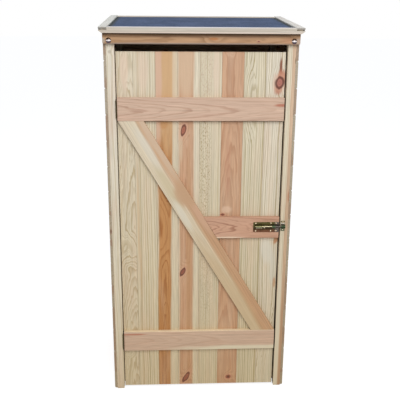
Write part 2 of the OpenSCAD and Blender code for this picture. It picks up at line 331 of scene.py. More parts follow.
class BoardTree(NodeTree):
    """The nodes of a piece of softwood.

    Attributes:
        wood: the wood.
        lie: how the board lies.
        coords: the texture coordinates.
        place: gives the place on the board, mm.
        seeded: gives that place moved to the board's own part of the noise.
        ripple: gives the ripples.
    """

    def __init__(self, wood: Softwood, label: str, lie: Lie, per_board: bool) -> None:
        """Starts with the place on the board.

        Args:
            wood: the wood.
            label: what the board is called.
            lie: how the board lies.
            per_board: whether the mesh holds several boards, each with its own place in a log.
        """
        super().__init__(bpy.data.materials.new(f"{wood.name}_{label}"))
        self.wood = wood
        self.lie = lie
        self.coords = self.add(COORDS)
        self.place = self.add(MAPPING, lie.mapping(self.coords))
        if per_board:
            own = self.add("ShaderNodeAttribute", attribute_name="board_shift")
            self.place = self.add(VECTOR, {0: self.place, 1: own.outputs["Vector"]}, **SUM)
        self.seeded = self.add(VECTOR, {0: self.place, 1: wood.seed * SEED_STEP}, **SUM)
        self.ripple = self._noise(Grain.RIPPLE)

    def build(self) -> Material:
        """Lays rings, fibres, marks, darker sawn ends and a darker, yellower tone towards the ground over
        each other.

        Returns:
            The material.
        """
        found = [(mark, self._away_from(mark)) for mark in self.wood.marks]
        found.sort(key=lambda pair: pair[0].kind is KNOT)
        if self.wood.scattered_knots:
            found.append((SMALL_KNOT, self._strewn()))
        radius = self._radius()
        late = self._summer_wood(self._bent(radius, found))
        fibre = self._noise(Grain.FIBRE)
        colour = self._fibres(self._two_tone(radius, late), fibre)
        for mark, spot in found:
            colour = self._painted(colour, spot, mark)
        # Planed faces are dull, with the harder summer wood a little proud and a little glossier.
        proud = 0.6
        height = self.add(MATH, {0: late, 1: proud, 2: fibre}, operation="MULTIPLY_ADD")
        shader = self.add(SHADER, {
            "Base Color": self._sawn_ends_and_low_tint(colour), "IOR": 1.5, "Specular IOR Level": 0.3,
            "Roughness": self.add(RANGE, {"Value": late, "To Min": 0.62, "To Max": 0.5}),
            "Normal": self.add(BUMP, {"Height": height, "Strength": 0.35, "Distance": 0.3 * MM})})
        self.add(OUTPUT, {"Surface": shader})
        return self.owner

    def _noise(self, grain: Grain) -> Node:
        """Noise of a real size.

        Args:
            grain: which unevenness it stands for.
        Returns:
            A node that gives 0 to 1, mostly near a half.
        """
        size, detail = grain.value
        scaled = self.add(VECTOR, {0: self.seeded, 1: tuple(1 / s for s in size)}, **TIMES)
        return self.add(NOISE, {"Vector": scaled, "Scale": 1.0, "Detail": detail})

    def _away_from(self, mark: Mark) -> Node:
        """How far a place lies from a mark's middle, in half sizes of the mark.

        Args:
            mark: the mark.
        Returns:
            A node that gives the distance, 1 at the mark's uneven edge.
        """
        at = self.lie.on_face(mark.x, mark.z)
        own = self.add(MAPPING, {
            "Vector": self.place, "Location": (at.x, mark.inward, at.z),
            "Rotation": (0, math.radians(mark.lean), 0),
            "Scale": (mark.half_wide, mark.half_deep, mark.half_long)}, vector_type="TEXTURE")
        away = self.add(VECTOR, {0: own}, operation="LENGTH")
        uneven = self.add(RANGE, {
            "Value": self.ripple, "From Min": 0.2, "From Max": 0.8, "To Min": 0.78, "To Max": 1.22})
        return self.add(MATH, {0: away.outputs["Value"], 1: uneven}, **TIMES)

    def _strewn(self) -> Node:
        """How far a place lies from the nearest of the small knots, in half sizes of a knot.

        Returns:
            A node that gives the distance.
        """
        across, _, along = KNOT_SPACING_MM
        shape = (across / SMALL_KNOT.half_wide, 0, along / SMALL_KNOT.half_long)
        scaled = self.add(VECTOR, {0: self.seeded, 1: tuple(1 / s for s in KNOT_SPACING_MM)}, **TIMES)
        cells = self.add("ShaderNodeTexVoronoi", {"Vector": scaled, "Scale": 1.0})
        off = self.add(VECTOR, {0: scaled, 1: cells.outputs["Position"]}, operation="SUBTRACT")
        sized = self.add(VECTOR, {0: off, 1: shape}, **TIMES)
        away = self.add(VECTOR, {0: sized}, operation="LENGTH")
        uneven = self.add(RANGE, {"Value": self.ripple, "To Min": 0.7, "To Max": 1.3})
        return self.add(MATH, {0: away.outputs["Value"], 1: uneven}, **TIMES)

    def _radius(self) -> Value:
        """How far a place lies from the log's heart, with the log's taper and wander.

        Returns:
            What gives the radius in mm.
        """
        across, behind = self.wood.cut.value
        askew = self.add(MAPPING, {"Vector": self.place, "Rotation": (0, -math.atan(self.wood.askew), 0)})
        heart = (across + self.wood.shift, behind, 0)
        off = self.add(VECTOR, {0: askew, 1: heart}, operation="SUBTRACT")
        flat = self.add(VECTOR, {0: off, 1: (1, 1, 0)}, **TIMES)
        radius = self.add(VECTOR, {0: flat}, operation="LENGTH").outputs["Value"]
        rise = self.add(VECTOR, {0: self.place, 1: (0, 0, self.wood.taper)}, operation="DOT_PRODUCT")
        radius = self.add(MATH, {0: radius, 1: rise.outputs["Value"]}, **SUM)
        for noise, size in ((self._noise(Grain.WANDER), self.wood.wander), (self.ripple, self.wood.ripple)):
            moved = self.add(RANGE, {"Value": noise, "From Min": 0.25, "From Max": 0.75,
                                     "To Min": -size, "To Max": size}, clamp=False)
            radius = self.add(MATH, {0: radius, 1: moved}, **SUM)
        return radius

    def _bent(self, radius: Value, found: Sequence[tuple[Mark, Value]]) -> Value:
        """Bends the year rings round the marks; the heartwood's edge stays where it is.

        Args:
            radius: the distance from the log's heart.
            found: the marks, each with the distance from it.
        Returns:
            What gives the radius in mm.
        """
        for mark, spot in found:
            if mark.bend:
                moved = self.add(RANGE, {"Value": spot, "From Min": 3.4, "From Max": 0.6,
                                         "To Min": 0.0, "To Max": mark.bend}, **SOFT)
                radius = self.add(MATH, {0: radius, 1: moved}, **SUM)
        return radius

    def _summer_wood(self, radius: Value) -> Node:
        """Where the dark summer wood of each year ring lies.

        Args:
            radius: the distance from the log's heart.
        Returns:
            A node that gives 0 for spring wood to 1 for summer wood.
        """
        # Good and bad years come a few together: how fast that changes, and by how many rings it shifts them.
        change, spread = 0.37, 2.2
        rings = self.add(MATH, {0: radius, 1: self.wood.ring_mm}, operation="DIVIDE")
        slow = self.add(MATH, {0: rings, 1: change}, **TIMES)
        years = self.add(NOISE, {"W": slow, "Scale": 1.0, "Detail": 1.0}, noise_dimensions="1D")
        uneven = self.add(MATH, {0: years, 1: spread, 2: rings}, operation="MULTIPLY_ADD")
        part = self.add(MATH, {0: uneven}, operation="FRACT")
        year = self.add(MATH, {0: uneven}, operation="FLOOR")
        chance = self.add("ShaderNodeTexWhiteNoise", {"W": year}, noise_dimensions="1D")
        strong = self.add(RANGE, {"Value": chance, "To Min": 0.35, "To Max": 1.0})
        rise = self.add(RANGE, {"Value": part, "From Min": self.wood.late_from, "From Max": 0.88}, **SOFT)
        fall = self.add(RANGE, {"Value": part, "From Min": 1.0, "From Max": 0.9})
        both = self.add(MATH, {0: rise, 1: fall}, **TIMES)
        return self.add(MATH, {0: both, 1: strong}, **TIMES)

    def _two_tone(self, radius: Value, late: Value) -> Node:
        """Sapwood outside heartwood, each with its spring and summer wood.

        Args:
            radius: the distance from the log's heart.
            late: where the summer wood lies.
        Returns:
            A node that gives the colour.
        """
        edge, fade = self.wood.heart_mm, self.wood.heart_edge
        shown = self.add(MATH, {0: late, 1: self.wood.contrast}, **TIMES)
        spring, summer = (linear(tone) for tone in self.wood.sap)
        wood = self.add(MIX, {"Factor": shown, "A": spring, "B": summer}, **OVER)
        if edge:
            spring, summer = (linear(tone) for tone in self.wood.heart)
            heart = self.add(MIX, {"Factor": shown, "A": spring, "B": summer}, **OVER)
            inside = self.add(RANGE, {"Value": radius, "From Min": edge + fade,
                                      "From Max": edge - fade}, **SOFT)
            wood = self.add(MIX, {"Factor": inside, "A": wood, "B": heart}, **OVER)
        warm = self.add(RANGE, {"Value": self._noise(Grain.DRIFT), "From Min": 0.46, "From Max": 0.7,
                                "To Max": self.wood.flush_share})
        return self.add(MIX, {"Factor": warm, "A": wood, "B": linear(self.wood.flush)}, **OVER)

    def _fibres(self, colour: Value, fibre: Value) -> Value:
        """Fine and broad streaks along the grain.

        Args:
            colour: the colour so far.
            fibre: fine noise drawn out along the grain.
        Returns:
            What gives the colour.
        """
        for noise, least, most in ((fibre, 0.88, 1.07), (self._noise(Grain.STREAK), 0.92, 1.06)):
            shade = self.add(RANGE, {"Value": noise, "From Min": 0.3, "From Max": 0.7,
                                     "To Min": least, "To Max": most})
            colour = self.add(MIX, {"Factor": 1.0, "A": colour, "B": shade}, **TINT)
        return colour

    def _painted(self, colour: Value, spot: Value, mark: Mark) -> Value:
        """Lays a mark's colours over the board's.

        Args:
            colour: the colour so far.
            spot: the distance from the mark.
            mark: the mark.
        Returns:
            What gives the colour.
        """
        if mark.kind is SWIRL:
            return colour
        over: Value = linear(mark.colour)
        if mark.kind is KNOT:
            over = self._branch(spot, mark)
            halo = self.add(RANGE, {"Value": spot, "From Min": 2.1, "From Max": 0.95, "To Max": 0.5}, **SOFT)
            colour = self.add(MIX, {"Factor": halo, "A": colour, "B": linear("#D2A086")}, **OVER)
        gone, full = mark.kind.value
        shown = self.add(RANGE, {"Value": spot, "From Min": gone, "From Max": full,
                                 "To Max": mark.strength}, **SOFT)
        if mark.kind is FLECKS:
            fleck = self.add(RANGE, {"Value": self._noise(Grain.FLECK), "From Min": 0.5, "From Max": 0.7})
            shown = self.add(MATH, {0: shown, 1: fleck}, **TIMES)
        return self.add(MIX, {"Factor": shown, "A": colour, "B": over}, **OVER)

    def _branch(self, spot: Value, mark: Mark) -> Node:
        """The cut branch inside a knot: fine year rings of its own, a lighter heart and a dark rim of bark.

        Args:
            spot: the distance from the knot.
            mark: the knot.
        Returns:
            A node that gives the colour.
        """
        ring_turns = 17.0
        turns = self.add(MATH, {0: spot, 1: ring_turns}, **TIMES)
        wave = self.add(MATH, {0: turns}, operation="SINE")
        ring = self.add(RANGE, {"Value": wave, "From Min": -1.0, "To Min": 0.85, "To Max": 1.12})
        outward = self.add(RANGE, {"Value": spot, "From Min": 0.1, "From Max": 1.0, "To Max": 0.3})
        inner, outer = linear(mark.colour), linear("#BC7E66")
        core = self.add(MIX, {"Factor": outward, "A": inner, "B": outer}, **OVER)
        core = self.add(MIX, {"Factor": 1.0, "A": core, "B": ring}, **TINT)
        bark = self.add(RANGE, {"Value": spot, "From Min": 0.42, "From Max": 0.8, "To Max": 0.92}, **SOFT)
        return self.add(MIX, {"Factor": bark, "A": core, "B": linear(mark.rim)}, **OVER)

    def _sawn_ends_and_low_tint(self, colour: Value) -> Node:
        """Darker sawn ends, and a darker, yellower tone towards the ground.

        Args:
            colour: the colour so far.
        Returns:
            A node that gives the colour.
        """
        facing = self.add(VECTOR, {0: self.coords.outputs["Normal"], 1: self.lie.along},
                          operation="DOT_PRODUCT")
        end_on = self.add(MATH, {0: facing.outputs["Value"]}, operation="ABSOLUTE")
        sawn = self.add(RANGE, {"Value": end_on, "From Min": 0.75, "From Max": 0.95, "To Max": 0.6})
        colour = self.add(MIX, {"Factor": sawn, "A": colour, "B": linear(self.wood.sawn)}, **OVER)
        height = self.add(SPLIT, {0: self.coords.outputs["Object"]}).outputs["Z"]
        low = self.add(RANGE, {"Value": height, "From Min": 1.25, "From Max": 0.05})
        return self.add(MIX, {"Factor": low, "A": colour, "B": linear("#F5ECD9")}, **TINT)


@dataclass(frozen=True)
class RoofingFelt:
    """Mineral roofing felt: crushed slate pressed into bitumen, blue-grey, rough and matt.

    Attributes:
        half_wide: half the felt's width between the mouldings, mm.
        half_deep: half its depth between the mouldings, mm.
        slate: the grit's two tones.
        dirt_and_shade: colour of the dark band along the mouldings: dirt that gathers there, and painted
            shade where the mouldings shade the felt.
        dirt_and_shade_mm: how far from a moulding the band begins, and how far from it the band is full.
        grit_mm: size of the grit.
        clump_mm: size of the clumps that the grit lies in, coarse enough to show.
        band_mm: size of the paler and darker bands.
    """

    half_wide: float
    half_deep: float
    slate: tuple[str, str] = ("#33435E", "#485876")
    dirt_and_shade: str = "#2E3536"
    dirt_and_shade_mm: tuple[float, float] = (24.0, 6.0)
    grit_mm: float = 1.6
    clump_mm: float = 9.0
    band_mm: float = 90.0

    def material(self, lie: Lie) -> Material:
        """Builds the material.

        Args:
            lie: how the felt lies.
        Returns:
            The material.
        """
        nodes = NodeTree(bpy.data.materials.new("mineral_roofing_felt"))
        place = nodes.add(MAPPING, lie.mapping(nodes.add(COORDS)))
        grit = nodes.add(NOISE, {"Vector": place, "Scale": 1 / self.grit_mm, "Detail": 2.0})
        clumps = nodes.add(NOISE, {"Vector": place, "Scale": 1 / self.clump_mm, "Detail": 3.0})
        bands = nodes.add(NOISE, {"Vector": place, "Scale": 1 / self.band_mm, "Detail": 2.0})
        tone = nodes.add(MATH, {0: clumps, 1: bands}, **SUM)
        spread = nodes.add(RANGE, {"Value": tone, "From Min": 0.8, "From Max": 1.2})
        dark, light = (linear(tone) for tone in self.slate)
        colour = nodes.add(MIX, {"Factor": spread, "A": dark, "B": light}, **OVER)
        fleck = nodes.add(RANGE, {"Value": grit, "From Min": 0.3, "From Max": 0.7,
                                  "To Min": 0.78, "To Max": 1.22})
        colour = nodes.add(MIX, {"Factor": 1.0, "A": colour, "B": fleck}, **TINT)
        away = nodes.add(VECTOR, {0: place}, operation="ABSOLUTE")
        parts = nodes.add(SPLIT, {0: away})
        begins, full = self.dirt_and_shade_mm
        # A dark band along each moulding: dirt, and painted shade where the mouldings shade the felt.
        for socket, edge in ((parts.outputs["X"], self.half_wide), (parts.outputs["Z"], self.half_deep)):
            near = nodes.add(RANGE, {"Value": socket, "From Min": edge - begins, "From Max": edge - full,
                                     "To Max": 0.95}, **SOFT)
            colour = nodes.add(MIX, {"Factor": near, "A": colour, "B": linear(self.dirt_and_shade)}, **OVER)
        bump = nodes.add(BUMP, {"Height": grit, "Strength": 0.6, "Distance": 0.6 * MM})
        shader = nodes.add(SHADER, {
            "Base Color": colour, "Roughness": 0.9, "Normal": bump, "Specular IOR Level": 0.25})
        nodes.add(OUTPUT, {"Surface": shader})
        return nodes.owner


@dataclass(frozen=True)
class Zone:
    """A part of a fitting where the plating has another tone.

    Attributes:
        tone: that tone as sRGB hex.
        along: the direction that leads into the part.
        from_mm: where the part begins along it, mm from the cabinet's origin.
        fade_mm: over how far it comes in on either side, mm.
    """

    tone: str
    along: Vector
    from_mm: float
    fade_mm: float = 2.0


@dataclass(frozen=True)
class PlatedSteel:
    """Pressed or turned steel with a thin plating: a soft shine, cloudy where the bath left it uneven.

    Its tone changes with how far a face looks up, out or down: painted reflection and painted shade.

    Attributes:
        name: the plating's common name.
        tones: its tone for how far a face looks up, from -1 straight down to 1 straight up; painted
            reflection
        and painted shade.
        roughness: least and most roughness.
        cloud_mm: size of the clouds.
        zones: parts with another tone, painted shadow and painted reflection among them.
        pit_mm: size of the fine pits.
    """

    name: str
    tones: tuple[tuple[float, str], ...]
    roughness: tuple[float, float] = (0.25, 0.45)
    cloud_mm: float = 7.0
    zones: tuple[Zone, ...] = ()
    pit_mm: float = 0.8

    def material(self) -> Material:
        """Builds the material, or gives the one built before."""
        known = bpy.data.materials.get(self.name)
        if known:
            return known
        nodes = NodeTree(bpy.data.materials.new(self.name))
        coords = nodes.add(COORDS)
        where = coords.outputs["Object"]
        clouds = nodes.add(NOISE, {"Vector": where, "Scale": 1 / (self.cloud_mm * MM), "Detail": 2.0})
        pits = nodes.add(NOISE, {"Vector": where, "Scale": 1 / (self.pit_mm * MM), "Detail": 2.0})
        colour = self._tone_with_painted_light(nodes, coords)
        for zone in self.zones:
            reach = nodes.add(VECTOR, {0: where, 1: zone.along / MM}, operation="DOT_PRODUCT")
            ragged = nodes.add(MATH, {0: clouds, 1: zone.fade_mm, 2: reach.outputs["Value"]},
                               operation="MULTIPLY_ADD")
            middle = zone.from_mm + zone.fade_mm / 2
            inside = nodes.add(RANGE, {"Value": ragged, "From Min": middle - zone.fade_mm,
                                       "From Max": middle + zone.fade_mm})
            colour = nodes.add(MIX, {"Factor": inside, "A": colour, "B": linear(zone.tone)}, **OVER)
        shade = nodes.add(RANGE, {"Value": clouds, "From Min": 0.35, "From Max": 0.65,
                                  "To Min": 0.78, "To Max": 1.14})
        colour = nodes.add(MIX, {"Factor": 1.0, "A": colour, "B": shade}, **TINT)
        least, most = self.roughness
        rough = nodes.add(RANGE, {"Value": clouds, "From Min": 0.3, "From Max": 0.7,
                                  "To Min": least, "To Max": most})
        bump = nodes.add(BUMP, {"Height": pits, "Strength": 0.15, "Distance": 0.05 * MM})
        shader = nodes.add(SHADER, {
            "Base Color": colour, "Metallic": 1.0, "Roughness": rough, "Normal": bump})
        nodes.add(OUTPUT, {"Surface": shader})
        return nodes.owner

    def _tone_with_painted_light(self, nodes: NodeTree, coords: Node) -> Value:
        """The plating's tone for how far a face looks up: painted reflection and painted shade.

        Args:
            nodes: the material's nodes.
            coords: the texture coordinates.
        Returns:
            What gives the colour.
        """
        normal = nodes.add(SPLIT, {0: coords.outputs["Normal"]})
        up = nodes.add(RANGE, {"Value": normal.outputs["Z"], "From Min": -1.0})
        tone = nodes.add("ShaderNodeValToRGB", {0: up})
        stops = tone.color_ramp.elements
        while len(stops) < len(self.tones):
            stops.new(0.5)
        for stop, (height, colour) in zip(stops, self.tones):
            stop.position = (height + 1) / 2
            stop.color = linear(colour)
        return tone.outputs["Color"]


# A bright dome, all painted reflection: near white across its middle, brown where it would mirror the roof's
# edge, dark and grey below.
BRIGHT_ZINC = PlatedSteel("bright_zinc_plated_steel", (
    (-0.82, "#8A7F8C"), (-0.45, "#3A2E38"), (-0.2, "#42363E"), (-0.07, "#DED6D6"), (0.07, "#E2DAD6"),
    (0.2, "#3E3028"), (0.6, "#2E2014")), (0.24, 0.36))
# Wire nails: dull grey, painted lighter on faces that look up and darker on those that look down.
NAIL_ZINC = PlatedSteel("dull_zinc_plated_nail", ((-1.0, "#8C8A86"), (1.0, "#A5A39E")), (0.35, 0.5))
# Yellow passivated plate: olive, with the rod's painted shadow under the rod, a painted brown reflection of
# the wood below that, mauve grey at its lock end, and faces that look up painted lighter.
PLATE_ZINC = PlatedSteel("yellow_passivated_plate", (
    (-0.8, "#55402C"), (0.0, "#554E2E"), (0.8, "#7C7450")),
    zones=(Zone("#3C3020", -Z, -752.0, 3.0), Zone("#664532", -Z, -741.0, 4.0),
           Zone("#645A54", X, 309.0, 5.0)))
# Pressed strap: grey-olive, with painted shade on faces that look up and a painted reflection of bright
# ground along the lower bend.
STRAP_ZINC = PlatedSteel("yellow_passivated_strap", (
    (-0.95, "#8F8468"), (-0.7, "#CFC5AE"), (-0.4, "#6E6A50"), (0.1, "#6C6A55"), (0.45, "#656244"),
    (0.75, "#3F3A1E")))
# The other strap: dark green, painted lighter on faces that look down, a painted reflection, and darkest on
# top.
GREEN_ZINC = PlatedSteel("green_passivated_strap", (
    (-0.8, "#5F6652"), (-0.2, "#404E3A"), (0.3, "#3E4A36"), (0.7, "#33382A")))
# The keeper: grey-green feet, a dark hoop, lighter where the hoop meets the upper foot and dark at the top of
# that foot; faces that look straight out are painted lighter than those that look up or down, a painted
# reflection.
KEEPER_ZINC = PlatedSteel("grey_passivated_keeper", (
    (-0.8, "#5C6650"), (-0.25, "#59634E"), (0.0, "#707263"), (0.25, "#4A5444"), (0.8, "#4A4E40")),
    zones=(Zone("#2F3A28", -Y, 233.5, 1.0), Zone("#6C685E", Z, 763.5, 1.0), Zone("#38321F", Z, 771.5, 2.0)))
# The rod: a painted highlight on top, painted shade below, and painted shade where the keeper covers it.
ROD_ZINC = PlatedSteel("yellow_passivated_rod", (
    (-0.6, "#2E2216"), (-0.16, "#3A2B1C"), (0.08, "#8A826A"), (0.5, "#968E74"), (0.85, "#7A7256")),
    (0.3, 0.42), zones=(Zone("#4A4440", X, 307.0, 3.0),))
# The knob: a painted highlight across the faces that look out, dark below.
KNOB_ZINC = PlatedSteel("yellow_passivated_knob", (
    (-0.6, "#5A4A34"), (-0.2, "#A2987E"), (0.3, "#B8AF96"), (0.8, "#7E7658")), (0.24, 0.38))
# Wood screws: a bright yellow, painted darker on faces that look down.
SCREW_ZINC = PlatedSteel("yellow_passivated_screw", (
    (-0.8, "#9A8468"), (0.0, "#D2BFA6"), (0.8, "#C6B594")), (0.2, 0.34), cloud_mm=3.0)
# The hinges: painted dark brown for the shade of the gap they sit in, and painted lighter on faces that look
# up.
GAP_SHADE_ZINC = PlatedSteel("gap_shaded_zinc_plated_steel", (
    (-1.0, "#3A3328"), (0.0, "#4A3F2B"), (1.0, "#5A5038")), (0.4, 0.6))


def rise_of(edge: Edge) -> float:
    """How far an edge rises from end to end, metres."""
    return abs(edge.verts[0].co.z - edge.verts[1].co.z)


def longer_than(length: float) -> Callable[[Edge], bool]:
    """Makes a test of an edge's length.

    Args:
        length: the length, mm.
    Returns:
        What says whether an edge is longer.
    """
    return lambda edge: edge.calc_length() > length * MM


class Workpiece:
    """A closed mesh being shaped, in metres, in the cabinet's frame."""

    def __init__(self) -> None:
        """Starts with nothing."""
        self.bm = bmesh.new()

    @classmethod
    def copy_of(cls, node: str) -> "Workpiece":
        """Starts from the shape of a CAD node, with its triangles joined to flat faces.

        Args:
            node: the CAD node.
        Returns:
            The workpiece.
        """
        piece = cls()
        piece.bm.from_mesh(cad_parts[node].data)
        bmesh.ops.remove_doubles(piece.bm, verts=piece.bm.verts, dist=WELD_MM * MM)
        bmesh.ops.dissolve_limit(piece.bm, angle_limit=math.radians(FLAT_DEGREES), verts=piece.bm.verts,
                                 edges=piece.bm.edges)
        return piece

    def add_prism(self, outline: Sequence[Point2], axes: tuple[Vector, Vector, Vector], start: float,
                  end: float) -> list[Vert]:
        """Adds a solid drawn out from an outline.

        Args:
            outline: the outline's corners in order, metres along the first two axes.
            axes: the outline's two axes, and the one it is drawn out along.
            start: where it starts along the third axis, metres.
            end: where it ends.
        Returns:
            Its vertices.
        """
        first, second, third = axes
        loops = [[self.bm.verts.new(first * a + second * b + third * s) for a, b in outline]
                 for s in (start, end)]
        count = len(outline)
        for i in range(count):
            j = (i + 1) % count
            self.bm.faces.new((loops[0][i], loops[0][j], loops[1][j], loops[1][i]))
        self.bm.faces.new(loops[0])
        self.bm.faces.new(loops[1])
        return loops[0] + loops[1]

    def add_turned(self, profile: Sequence[Point2], foot: Vector, axis: Vector,
                   around: int = 32) -> list[Vert]:
        """Adds a turned solid.

        Args:
            profile: (radius, height) from one end to the other, metres; a radius of 0 closes an end.
            foot: where the height is 0.
            axis: which way the height runs.
            around: how many sides it has.
        Returns:
            Its vertices.
        """
        side = axis.orthogonal().normalized()
        other = axis.cross(side)
        rings: list[list[Vert]] = []
        for radius, height in profile:
            middle = foot + axis * height
            if radius == 0:
                rings.append([self.bm.verts.new(middle)])
                continue
            angles = (2 * math.pi * k / around for k in range(around))
            rings.append([self.bm.verts.new(middle + (side * math.cos(t) + other * math.sin(t)) * radius)
                          for t in angles])
        for low, high in zip(rings, rings[1:]):
            for k in range(around):
                n = (k + 1) % around
                corners = ([low[0]] if len(low) == 1 else [low[k], low[n]]) + (
                    [high[0]] if len(high) == 1 else [high[n], high[k]])
                self.bm.faces.new(corners)
        for ring in (rings[0], rings[-1]):
            if len(ring) > 1:
                self.bm.faces.new(ring)
        return [v for ring in rings for v in ring]

    def trim(self, point: Vector, outward: Vector) -> "Workpiece":
        """Cuts off what lies beyond a plane and closes the cut.

        Args:
            point: a point on the plane.
            outward: the side that is cut off.
        Returns:
            The workpiece.
        """
        geometry = [*self.bm.verts, *self.bm.edges, *self.bm.faces]
        cut = bmesh.ops.bisect_plane(self.bm, geom=geometry, plane_co=point, plane_no=outward,
                                     clear_outer=True)
        edges = [e for e in cut["geom_cut"] if isinstance(e, Edge)]
        if edges:
            bmesh.ops.edgenet_fill(self.bm, edges=edges)
        return self

    def ease(self, radius: float, segments: int = 2,
             chosen: Optional[Callable[[Edge], bool]] = None) -> "Workpiece":
        """Takes the sharpness off the edges, as a plane or sandpaper does.

        Args:
            radius: how far the rounding goes in, mm.
            segments: how many facets it has.
            chosen: says which edges; all the sharp ones if not given.
        Returns:
            The workpiece.
        """
        self.bm.normal_update()
        edges = [e for e in self.bm.edges if len(e.link_faces) == 2
                 and e.calc_face_angle(0) > math.radians(EASED_DEGREES) and (chosen is None or chosen(e))]
        bmesh.ops.bevel(self.bm, geom=edges, offset=radius * MM, offset_type="OFFSET", segments=segments,
                        profile=0.5, affect="EDGES", clamp_overlap=True)
        return self

    def label_boards(self, shifts: Sequence[tuple[Sequence[Vert], Vector]]) -> None:
        """Gives each board in the mesh its own place in a log.

        Args:
            shifts: the vertices of each board, with how far it lies from the usual place, mm.
        """
        self.bm.verts.index_update()
        numbered = [([vert.index for vert in verts], shift) for verts, shift in shifts]
        layer = self.bm.verts.layers.float_vector.new("board_shift")
        self.bm.verts.ensure_lookup_table()
        for numbers, shift in numbered:
            for number in numbers:
                self.bm.verts[number][layer] = shift

    def install(self, name: str, body: str, material: Material, slot: str, *nodes: str) -> None:
        """Makes the piece and hangs it on its body; all but wood has its curved faces shaded smooth.

        Args:
            name: the piece's name.
            body: the CAD body it rides on.
            material: its finish.
            slot: the name of its finish's slot; it is only read to leave wood pieces unsmoothed.
            nodes: the CAD nodes that it stands for.
        """
        bmesh.ops.recalc_face_normals(self.bm, faces=self.bm.faces)
        mesh = bpy.data.meshes.new(name)
        self.bm.to_mesh(mesh)
        self.bm.free()
        mesh.materials.append(material)
        if "pine" not in slot:
            mesh.shade_smooth()
            mesh.set_sharp_from_angle(angle=math.radians(SHARP_DEGREES))
        piece = bpy.data.objects.new(name, mesh)
        bpy.context.scene.collection.objects.link(piece)
        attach(piece, body)
        if nodes:
            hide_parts(*nodes)
        LOG.info("%s: %d faces on %s", name, len(mesh.polygons), body)


def rounded_rectangle(width: float, height: float, radius: float, steps: int = 4) -> list[Point2]:
    """The outline of a rectangle with rounded corners about its middle.

    Args:
        width: its width, mm.
        height: its height, mm.
        radius: the radius of its corners, mm.
        steps: how many facets each corner has.
    Returns:
        The outline's corners, metres.
    """
    outline = []
    for quarter, (sx, sy) in enumerate(((1, 1), (-1, 1), (-1, -1), (1, -1))):
        for k in range(steps + 1):
            t = (quarter + k / steps) * math.pi / 2
            outline.append(((sx * (width / 2 - radius) + radius * math.cos(t)) * MM,
                            (sy * (height / 2 - radius) + radius * math.sin(t)) * MM))
    return outline


@dataclass(frozen=True)
class MatchedEdge:
    """How boards meet: a tongue in a groove, with the arrises of the show face taken off.

    Attributes:
        tongue_mm: how far the tongue stands out.
        tongue_part: the tongue's share of the board's thickness.
        play_mm: room round the tongue.
        show_mm: bevel along the show face.
        back_mm: bevel along the back.
    """

    tongue_mm: float = 5.0
    tongue_part: float = 0.3
    play_mm: float = 0.15
    show_mm: float = 0.7
    back_mm: float = 0.5

    def outline(self, start: float, end: float, show: float, back: float, tongue: bool,
                groove: bool) -> list[Point2]:
        """The outline of a board's section.

        Args:
            start: where the board starts across, metres.
            end: where it ends.
            show: the show face's place through the board.
            back: the back's place.
            tongue: whether it has a tongue at its end.
            groove: whether it has a groove at its start.
        Returns:
            The corners in order.
        """
        inward = 1 if back > show else -1
        middle = (show + back) / 2
        half = abs(back - show) * self.tongue_part / 2 * inward
        out, play = self.tongue_mm * MM, self.play_mm * MM
        v, b = self.show_mm * MM, self.back_mm * MM
        points = [(start + v, show), (end - v, show), (end, show + v * inward)]
        if tongue:
            points += [(end, middle - half), (end + out, middle - half), (end + out, middle + half),
                       (end, middle + half)]
        points += [(end, back - b * inward), (end - b, back), (start + b, back), (start, back - b * inward)]
        if groove:
            wide = half + play * inward
            points += [(start, middle + wide), (start + out + play, middle + wide),
                       (start + out + play, middle - wide), (start, middle - wide)]
        return points + [(start, show + v * inward)]


@dataclass(frozen=True)
class Screw:
    """A round-headed wood screw with a cross recess.

    Attributes:
        radius_mm: the head's radius.
        height_mm: how far the head stands out.
        recess_mm: the recess's depth.
        sunk_mm: how deep its foot lies in the wood or plate.
    """

    radius_mm: float = 3.4
    height_mm: float = 1.6
    recess_mm: float = 0.9
    sunk_mm: float = 0.6

    def drive(self, piece: Workpiece, at: Vector, out: Vector) -> None:
        """Adds the screw's head to a workpiece.

        Args:
            piece: the workpiece.
            at: where the head meets the face.
            out: which way the head looks.
        """
        around, arm_every, arm_wide, first_cut = 32, 8, 2, 5
        foot_share, crown_power, shares = 0.9, 2.4, (1.0, 0.97, 0.86, 0.66, 0.6, 0.3)
        r, h = self.radius_mm * MM, self.height_mm * MM
        profile = [(r * foot_share, -self.sunk_mm * MM)]
        profile += [(r * s, h * (1 - s ** crown_power)) for s in shares] + [(0.0, h)]
        verts = piece.add_turned(profile, at, out, around)
        rings = [verts[i * around:(i + 1) * around] for i in range(len(profile) - 1)]
        for ring in rings[first_cut:]:
            for k, vert in enumerate(ring):
                if (k + 1) % arm_every <= arm_wide:
                    vert.co -= out * self.recess_mm * MM
        verts[-1].co -= out * self.recess_mm * MM


@dataclass(frozen=True)
class Nail:
    """A flat wire nail, driven flush.

    Attributes:
        radius_mm: the head's radius.
        profile: shares of that radius, with their heights from the wood's face, mm.
        around: how many sides it has.
    """

    radius_mm: float = 2.6
    profile: tuple[Point2, ...] = ((1.0, -0.8), (1.0, 0.05), (0.86, 0.3), (0.0, 0.36))
    around: int = 14

    def drive(self, piece: Workpiece, at: Vector, out: Vector) -> None:
        """Adds the nail's head to a workpiece.

        Args:
            piece: the workpiece.
            at: where the head meets the face.
            out: which way the head looks.
        """
        turned = [(self.radius_mm * MM * share, height * MM) for share, height in self.profile]
        piece.add_turned(turned, at, out, self.around)


